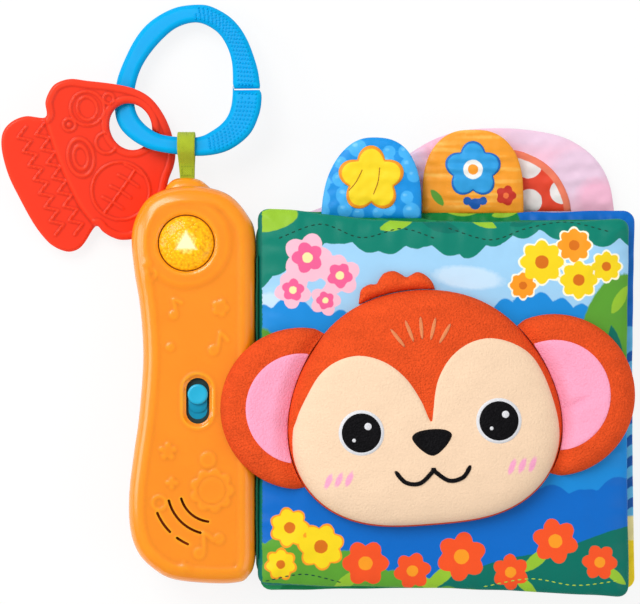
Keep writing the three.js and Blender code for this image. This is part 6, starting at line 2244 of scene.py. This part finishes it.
@dataclass
class Head:
    """The padded plush head on the cover, with its face."""

    x: float = 103.5
    y: float = -6.0
    radius: float = 57.4
    tilt: float = 4.5
    floor: float = 31.2
    foot: float = 32.9
    crown: float = 13.4
    tuft_floor: float = 31.4
    tuft_foot: float = 32.5
    tuft_crown: float = 5.6

    def outline(self, growth: float = 0.0) -> Flat:
        """Give the sewn edge, grown by a distance."""
        turn = full_turn(240)
        reach = self.radius * (1 - 0.12 * np.sin(turn) + 0.06 * np.cos(2 * turn) - 0.047 * np.sin(3 * turn)
                               - 0.022 * np.cos(4 * turn))
        return spaced(inset(around(self.x, self.y, reach, turn + math.radians(self.tilt)), -growth), 1.4)

    def surface(self, flat: Flat, depth: np.ndarray | None = None) -> np.ndarray:
        """Give the height of the padded face.

        Args:
            flat: Places seen from above.
            depth: Distance of each from the sewn edge, where it is known.

        Returns:
            The height of each place.
        """
        if depth is None:
            depth = edge_distance(flat, self.outline())
        rise = 1.0 - np.exp(-(np.maximum(depth, 1e-6) / 5.43) ** 0.592)
        return self.foot + self.crown * rise + 0.18 * ripple(flat, 24.0, 9) * ease(depth, 1.0, 9.0)

    def applied(self, line: Flat, rise: float, soft: float, spacing: float, ground: float = 0.0) -> Skin:
        """Give a piece of cloth or embroidery that lies on the padded face.

        Args:
            line: Its outline.
            rise: How far it stands up.
            soft: Width of its rounded edge.
            spacing: Size of its triangles.
            ground: Thickness of what it lies on.

        Returns:
            Its skin.
        """
        def over(flat: Flat, depth: np.ndarray) -> np.ndarray:
            """Stand off the face."""
            return self.surface(flat) + ground + rise * np.sqrt(ease(depth, 0.0, soft * 1.2))

        def under(flat: Flat, _: np.ndarray) -> np.ndarray:
            """Lie a little within what carries it."""
            return self.surface(flat) + ground - 0.25
        return plate(line, over, under, spacing, tuple(soft * share for share in (0.12, 0.35, 0.7, 1.1)),
                     coarse=1.5)

    def mask_line(self) -> Flat:
        """Give the outline of the cream face: two lobes above, and the head's own edge below."""
        centre, soft, turn = (106.5, -32.0), 0.7, full_turn(420)
        lobes, edge = [reach_of(line, centre, turn) * soft
                       for line in (smooth_curve(np.array(MASK_LOBES), 0.8), self.outline(-0.9))]
        return spaced(around(*centre, -np.logaddexp(-lobes, -edge) / soft, turn), 1.1)

    def build(self) -> None:
        """Build the head, its face, its tuft and its forehead stitches."""
        rows = (0.08, 0.25, 0.55, 1.0, 1.6, 2.4, 3.4)
        skin = plate(self.outline(), self.surface, level_face(self.floor), 1.5, rows, coarse=3.0)
        head = Body("plush_head").add(skin, RUST_PLUSH).build(75.0)
        hand_over(head, "front_cover", "rust_plush", "head_plush", "head_wadding")
        edge = self.mask_line()
        mask = Body("cream_mask").add(self.applied(edge, 0.7, 1.1, 1.4), CREAM_PLUSH).build(65.0)
        hand_over(mask, "front_cover", "cream_plush", "face_mask")
        self.features()
        self.tuft()
        share = np.linspace(-1, 1, 5)
        flat = np.column_stack([102.6 + share * 10.5, 25.5 + share - share ** 2 * 3.4])
        places, facing = Surface(head).lay(flat, 0.1)
        ahead = at_height(around(0.0, 0.0, 1.0, np.radians(94.5 - share * 34.0)), 0.0)
        sewn = beads("forehead_stitches", places, ahead, facing, (10.5, 1.7, 0.7), TAN_THREAD)
        hand_over(sewn, "front_cover", "embroidery")

    def features(self) -> None:
        """Build the embroidered eyes, nose and smile."""
        rings = ((0.0, 10.2, WHITE_THREAD, 0.6, 0.8), (0.0, 8.9, BLACK_THREAD, 1.2, 0.75),
                 (2.9, 1.9, WHITE_THREAD, 1.75, 0.5), (-3.3, 1.1, WHITE_THREAD, 1.75, 0.5))
        for side, x, y in (("left", 76.0, -21.0), ("right", 137.0, -15.6)):
            eye = Body(f"{side}_eye_embroidery")
            for shift, radius, finish, ground, rise in rings:
                ring = circle(x + shift, y + shift, radius, 0.6)
                eye.add(self.applied(ring, rise, 0.9, 0.7, ground), finish)
            hand_over(eye.build(65.0), "front_cover", "embroidery", f"{side}_eye")
        edge = smooth_curve(np.array([(107.2, -19.2), (100.6, -20.6), (98.4, -23.6), (102.4, -28.6),
                                      (107.8, -31.2), (112.8, -27.8), (116.2, -22.2), (113.6, -19.6)]), 0.6)
        nose = Body("nose_embroidery").add(self.applied(edge, 1.0, 1.2, 0.7, 0.6), BLACK_THREAD)
        hand_over(nose.build(65.0), "front_cover", "embroidery", "nose")
        knots = [(91.0, -38.0), (95.6, -43.0), (102.0, -43.4), (107.2, -38.6), (108.0, -36.6), (109.0, -38.4),
                 (115.0, -42.2), (121.2, -40.6), (124.4, -35.4)]
        smile = smooth_curve(np.array(knots), 0.8, False)
        path = np.column_stack([smile, self.surface(smile) + 0.85])
        mouth = Body("smile_embroidery").add(sweep(path, 1.9, 1.0, np.array((0.0, 0.0, 1.0))), BLACK_THREAD)
        hand_over(mouth.build(60.0), "front_cover", "embroidery")

    def tuft(self) -> None:
        """Build the lobed tuft that stands out behind the head's top."""
        whole = smooth_curve(np.array(TUFT_KNOTS), 0.8)
        above = inset(self.outline(), -0.3)
        line = whole[~inside(whole, above)]
        edge = above[inside(above, whole)]
        edge = edge[np.argsort(edge[:, 0])]
        line = line[np.argsort(-np.arctan2(line[:, 1] - 34.0, line[:, 0] - 91.0))][::-1]
        loop = np.vstack([line, edge])

        def over(_: Flat, depth: np.ndarray) -> np.ndarray:
            """Puff the lobes up."""
            return self.tuft_foot + self.tuft_crown * (1 - np.exp(-depth / 2.4)) ** 0.6
        skin = plate(loop, over, level_face(self.tuft_floor), 0.9, (0.1, 0.3, 0.7, 1.3), coarse=2.0)
        obj = Body("plush_tuft").add(skin, RUST_PLUSH).build(75.0)
        hand_over(obj, "front_cover", "rust_plush", "head_tuft")


class Side(Enum):
    """The side of the head that an ear is on."""

    LEFT = "left"
    RIGHT = "right"


@dataclass
class Ear:
    """A round plush ear with a pink lining, which bends at a fold beside the head."""

    side: Side
    x: float
    y: float
    fold: float
    radius: float = 36.2
    lining: float = 24.7
    floor: float = 32.35
    crown: float = 7.55
    blend_half: float = 3.0
    tuck: float = 3.6
    tuck_reach: float = 9.0
    gap: float = 0.12

    def outline(self, head: Head, radius: float, growth: float) -> Flat:
        """Give a circle with the head cut out of it.

        Args:
            head: The head.
            radius: Radius of the circle.
            growth: Clearance to the head.

        Returns:
            The outline, counter-clockwise.
        """
        ring, edge = circle(self.x, self.y, radius, 1.2), head.outline(growth)
        runs = []
        for line, kept in ((ring, ~inside(ring, edge)), (edge, inside(edge, ring))):
            first = next(i for i in range(len(line)) if kept[i] and not kept[i - 1])
            runs.append(np.roll(line, -first, axis=0)[np.roll(kept, -first)])
        return np.vstack([runs[0], runs[1][::-1]])

    def surface(self, flat: Flat, head: Head) -> np.ndarray:
        """Give the height of the ear: a fat rim round a dish, which tucks in under the head's edge."""
        share = np.hypot(flat[:, 0] - self.x, flat[:, 1] - self.y) / self.radius
        rise = np.interp(share, [0, 0.3, 0.5, 0.62, 0.74, 0.84, 0.91, 0.96, 0.985, 1.0],
                         [0.72, 0.76, 0.86, 0.95, 1.0, 0.95, 0.8, 0.56, 0.34, 0.1])
        tall = self.floor + self.crown * rise + 0.12 * ripple(flat, 17.0, 6)
        if self.side is Side.RIGHT:
            fold = turned(flat, 172.0, -8.5, 24.0)
            tall -= 1.7 * np.exp(-(fold[0] / 6.5) ** 2 - (fold[1] / 1.8) ** 2)
        tuck = ease(edge_distance(flat, head.outline()), self.tuck_reach, 0.0)
        return np.minimum(tall, self.floor + self.crown) - self.tuck * tuck ** 1.6

    def build(self, head: Head) -> None:
        """Build the ear and its lining, each bent across the fold."""
        side = self.side.value
        sign = 1.0 if self.side is Side.RIGHT else -1.0

        def under(flat: Flat, _: np.ndarray) -> np.ndarray:
            """Lie level over the handle, and reach down to the cover beside the head."""
            beyond = (flat[:, 0] - self.fold) * sign
            return self.floor - 1.1 * ease(-beyond, 0.5, 5.0)

        def lined(flat: Flat, depth: np.ndarray) -> np.ndarray:
            """Stand a little off the ear's dish."""
            return self.surface(flat, head) + 0.45 * np.sqrt(ease(depth, 0.0, 1.2)) + 0.05
        line = self.outline(head, self.radius, self.gap)
        skin = plate(line, lambda flat, _: self.surface(flat, head), under, 1.3, (0.1, 0.35, 0.8, 1.5, 2.5),
                     coarse=1.6)
        ear = Body(f"{side}_plush_ear").add(skin, RUST_PLUSH).build(75.0)
        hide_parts(f"{side}_ear", f"{side}_ear_root")
        patch = self.outline(head, self.lining, self.gap + 0.1)
        skin = plate(patch, lined, lambda flat, _: self.surface(flat, head) - 0.35, 1.2, (0.15, 0.5, 1.1),
                     coarse=1.6)
        inner = Body(f"{side}_ear_lining_plush").add(skin, EAR_LINING).build(75.0)
        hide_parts(f"{side}_ear_lining")
        for obj, slot in ((ear, "rust_plush"), (inner, "pink_plush")):
            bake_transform(obj, "front_cover", f"{side}_ear",
                     ((self.fold - sign * self.blend_half) * MM, self.y * MM, self.floor * MM),
                     ((self.fold + sign * self.blend_half) * MM, self.y * MM, self.floor * MM))
            log.info("%s bends between front_cover and %s_ear", obj.name, side)


@dataclass
class Spine:
    """The spine cloth beside the handle and the strips that carry the leaves."""

    x: float = 29.3
    thickness: float = 0.8
    bottom: float = -78.0
    top: float = 58.0
    strip_bottom: float = -88.0
    strip_top: float = 74.0
    low: float = 0.3
    high: float = 28.75
    strip_reach: float = 3.2
    strip_thickness: float = 0.5
    strip_taper: float = 7.0

    def strip(self, name: str, section: list[tuple[float, float]], thick: float, bottom: float,
              top: float, taper: float = 0.0) -> bpy.types.Object:
        """Draw a narrow cloth strip along the spine.

        Args:
            name: Name of the piece.
            section: Its middle line in the plane across the spine, as x and height.
            thick: Its thickness.
            bottom: Its lower end.
            top: Its upper end.
            taper: Length over which its ends narrow towards the leaves.

        Returns:
            The strip.
        """
        middle = smooth_curve(np.array(section), 0.9, False)
        side = left_of(unit(np.gradient(middle, axis=0))) * thick / 2
        loop = np.vstack([middle - side, (middle + side)[::-1]])
        rows = np.linspace(bottom, top, 90)
        wave = 0.12 * np.sin(rows / 7.0) + 0.06 * np.sin(rows / 2.3)
        share = np.sqrt(np.clip(np.minimum(rows - bottom, top - rows) / max(taper, 1e-6), 0.04, 1.0))
        edge = loop[:, 0].max()
        rings = [np.column_stack([edge + (loop[:, 0] - edge) * part + shift_x, np.full(len(loop), y),
                                  loop[:, 1]]) for y, shift_x, part in zip(rows, wave, share)]
        return Body(name).add(loft([ring[::-1] for ring in rings]), SPINE_CLOTH).build(60.0)

    def build(self, leaves: dict[str, Leaf]) -> None:
        """Build the cloth and one strip for each leaf."""
        web = self.strip("spine_cloth", [(self.x, self.low), (self.x, 14.0), (self.x, self.high)],
                         self.thickness, self.bottom, self.top)
        hand_over(web, "handle", "spine_cloth", "spine_web")
        sizes = (self.strip_thickness, self.strip_bottom, self.strip_top, self.strip_taper)
        for name in ("front_cover", "leaf_2"):
            seam = leaves[name].seam
            strip = self.strip(f"{name}_strip", [(self.x - 0.35, seam - 1.4), (self.x + 0.6, seam - 0.3),
                                                 (self.x + self.strip_reach, seam)], *sizes)
            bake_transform(strip, "handle", name, ((self.x - 0.2) * MM, 0.0, seam * MM),
                     ((self.x + 1.8) * MM, 0.0, seam * MM))
        for upper, lower in (("leaf_2", "leaf_3"), ("leaf_3", "back_leaf")):
            high, low = leaves[upper].seam, leaves[lower].seam
            strip = self.strip(f"{lower}_strip", [(self.x + 3.0, high), (self.x + 1.2, high - 0.8),
                                                  (self.x + 0.9, (high + low) / 2), (self.x + 1.2, low + 0.8),
                                                  (self.x + 3.0, low)], *sizes)
            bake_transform(strip, upper, lower, (self.x * MM, 0.0, (high - 1.0) * MM),
                     (self.x * MM, 0.0, (low + 1.0) * MM))


def build_leaves() -> dict[str, Leaf]:
    """Build the four leaves and the stitches on the cover.

    Returns:
        The leaves by the name of their body.
    """
    leaves = {leaf.name: leaf for leaf in (
        Leaf("back_leaf", 0.0, 7.9, 166.5, 78.0, PINK_PAGE, BACK_SATIN, 50),
        Leaf("leaf_3", 8.2, 6.7, 170.5, 79.0, THIRD_SATIN, SECOND_SATIN, 60, step=1.2, spacing=2.0),
        Leaf("leaf_2", 15.2, 6.7, 166.5, 76.5, SECOND_SATIN, SECOND_SATIN, 70,
             top_shift=((102.0, 0.0), (108.0, -1.3), (200.0, -1.6))),
        Leaf("front_cover", 22.2, 9.8, 167.6, 77.5, COVER_SATIN, SECOND_SATIN, 80, simulated=True, left=29.2,
             pucker=0.38, top_shift=((30.0, 2.2), (45.0, 1.7), (60.0, 0.2), (76.0, -1.8), (100.0, -3.0),
                                     (182.0, -3.2), (197.0, -2.2)),
             bottom_shift=((30.0, 3.2), (58.0, 2.2), (120.0, 0.4), (190.0, -2.2))),
    )}
    layers = ("front_cloth", "crinkle_film", "wadding", "back_cloth")
    made = {name: leaf.build(*[f"{name}_{layer}" for layer in layers]) for name, leaf in leaves.items()}
    cover = Surface(made["front_cover"])
    loops = {
        "canopy_dashes_1": ([(40, 66), (58, 72), (76, 66), (94, 70), (108, 66)], GREEN_THREAD),
        "canopy_dashes_2": ([(116, 70), (134, 65), (150, 70), (168, 73), (186, 69)], GREEN_THREAD),
        "hill_dashes": ([(34, -88), (50, -85), (66, -88.5)], GREEN_THREAD),
        "corner_dashes": ([(132, -90.5), (152, -87), (172, -90), (190, -88)], LIME_STITCH),
    }
    for name, (knots, finish) in loops.items():
        line = smooth_curve(np.array(knots, float), 0.5, False)
        hand_over(cover.stitches(name, line, finish, 1.9, 3.1, 0.6, 0.25), "front_cover", "embroidery")
    return leaves


def main() -> None:
    """Build the whole book."""
    logging.basicConfig(level=logging.INFO, format="%(message)s")
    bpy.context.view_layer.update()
    Studio().build()
    Handle().build()
    LightButton().build()
    SoundSwitch().build()
    Ribbon().build()
    ring, head = LinkRing(), Head()
    ring.build()
    Teether().build(ring)
    Spine().build(build_leaves())
    build_tabs()
    head.build()
    for ear in (Ear(Side.LEFT, 49.2, -10.6, 43.0), Ear(Side.RIGHT, 162.4, -4.5, 170.0)):
        ear.build(head)


if __name__ == "__main__":
    main()
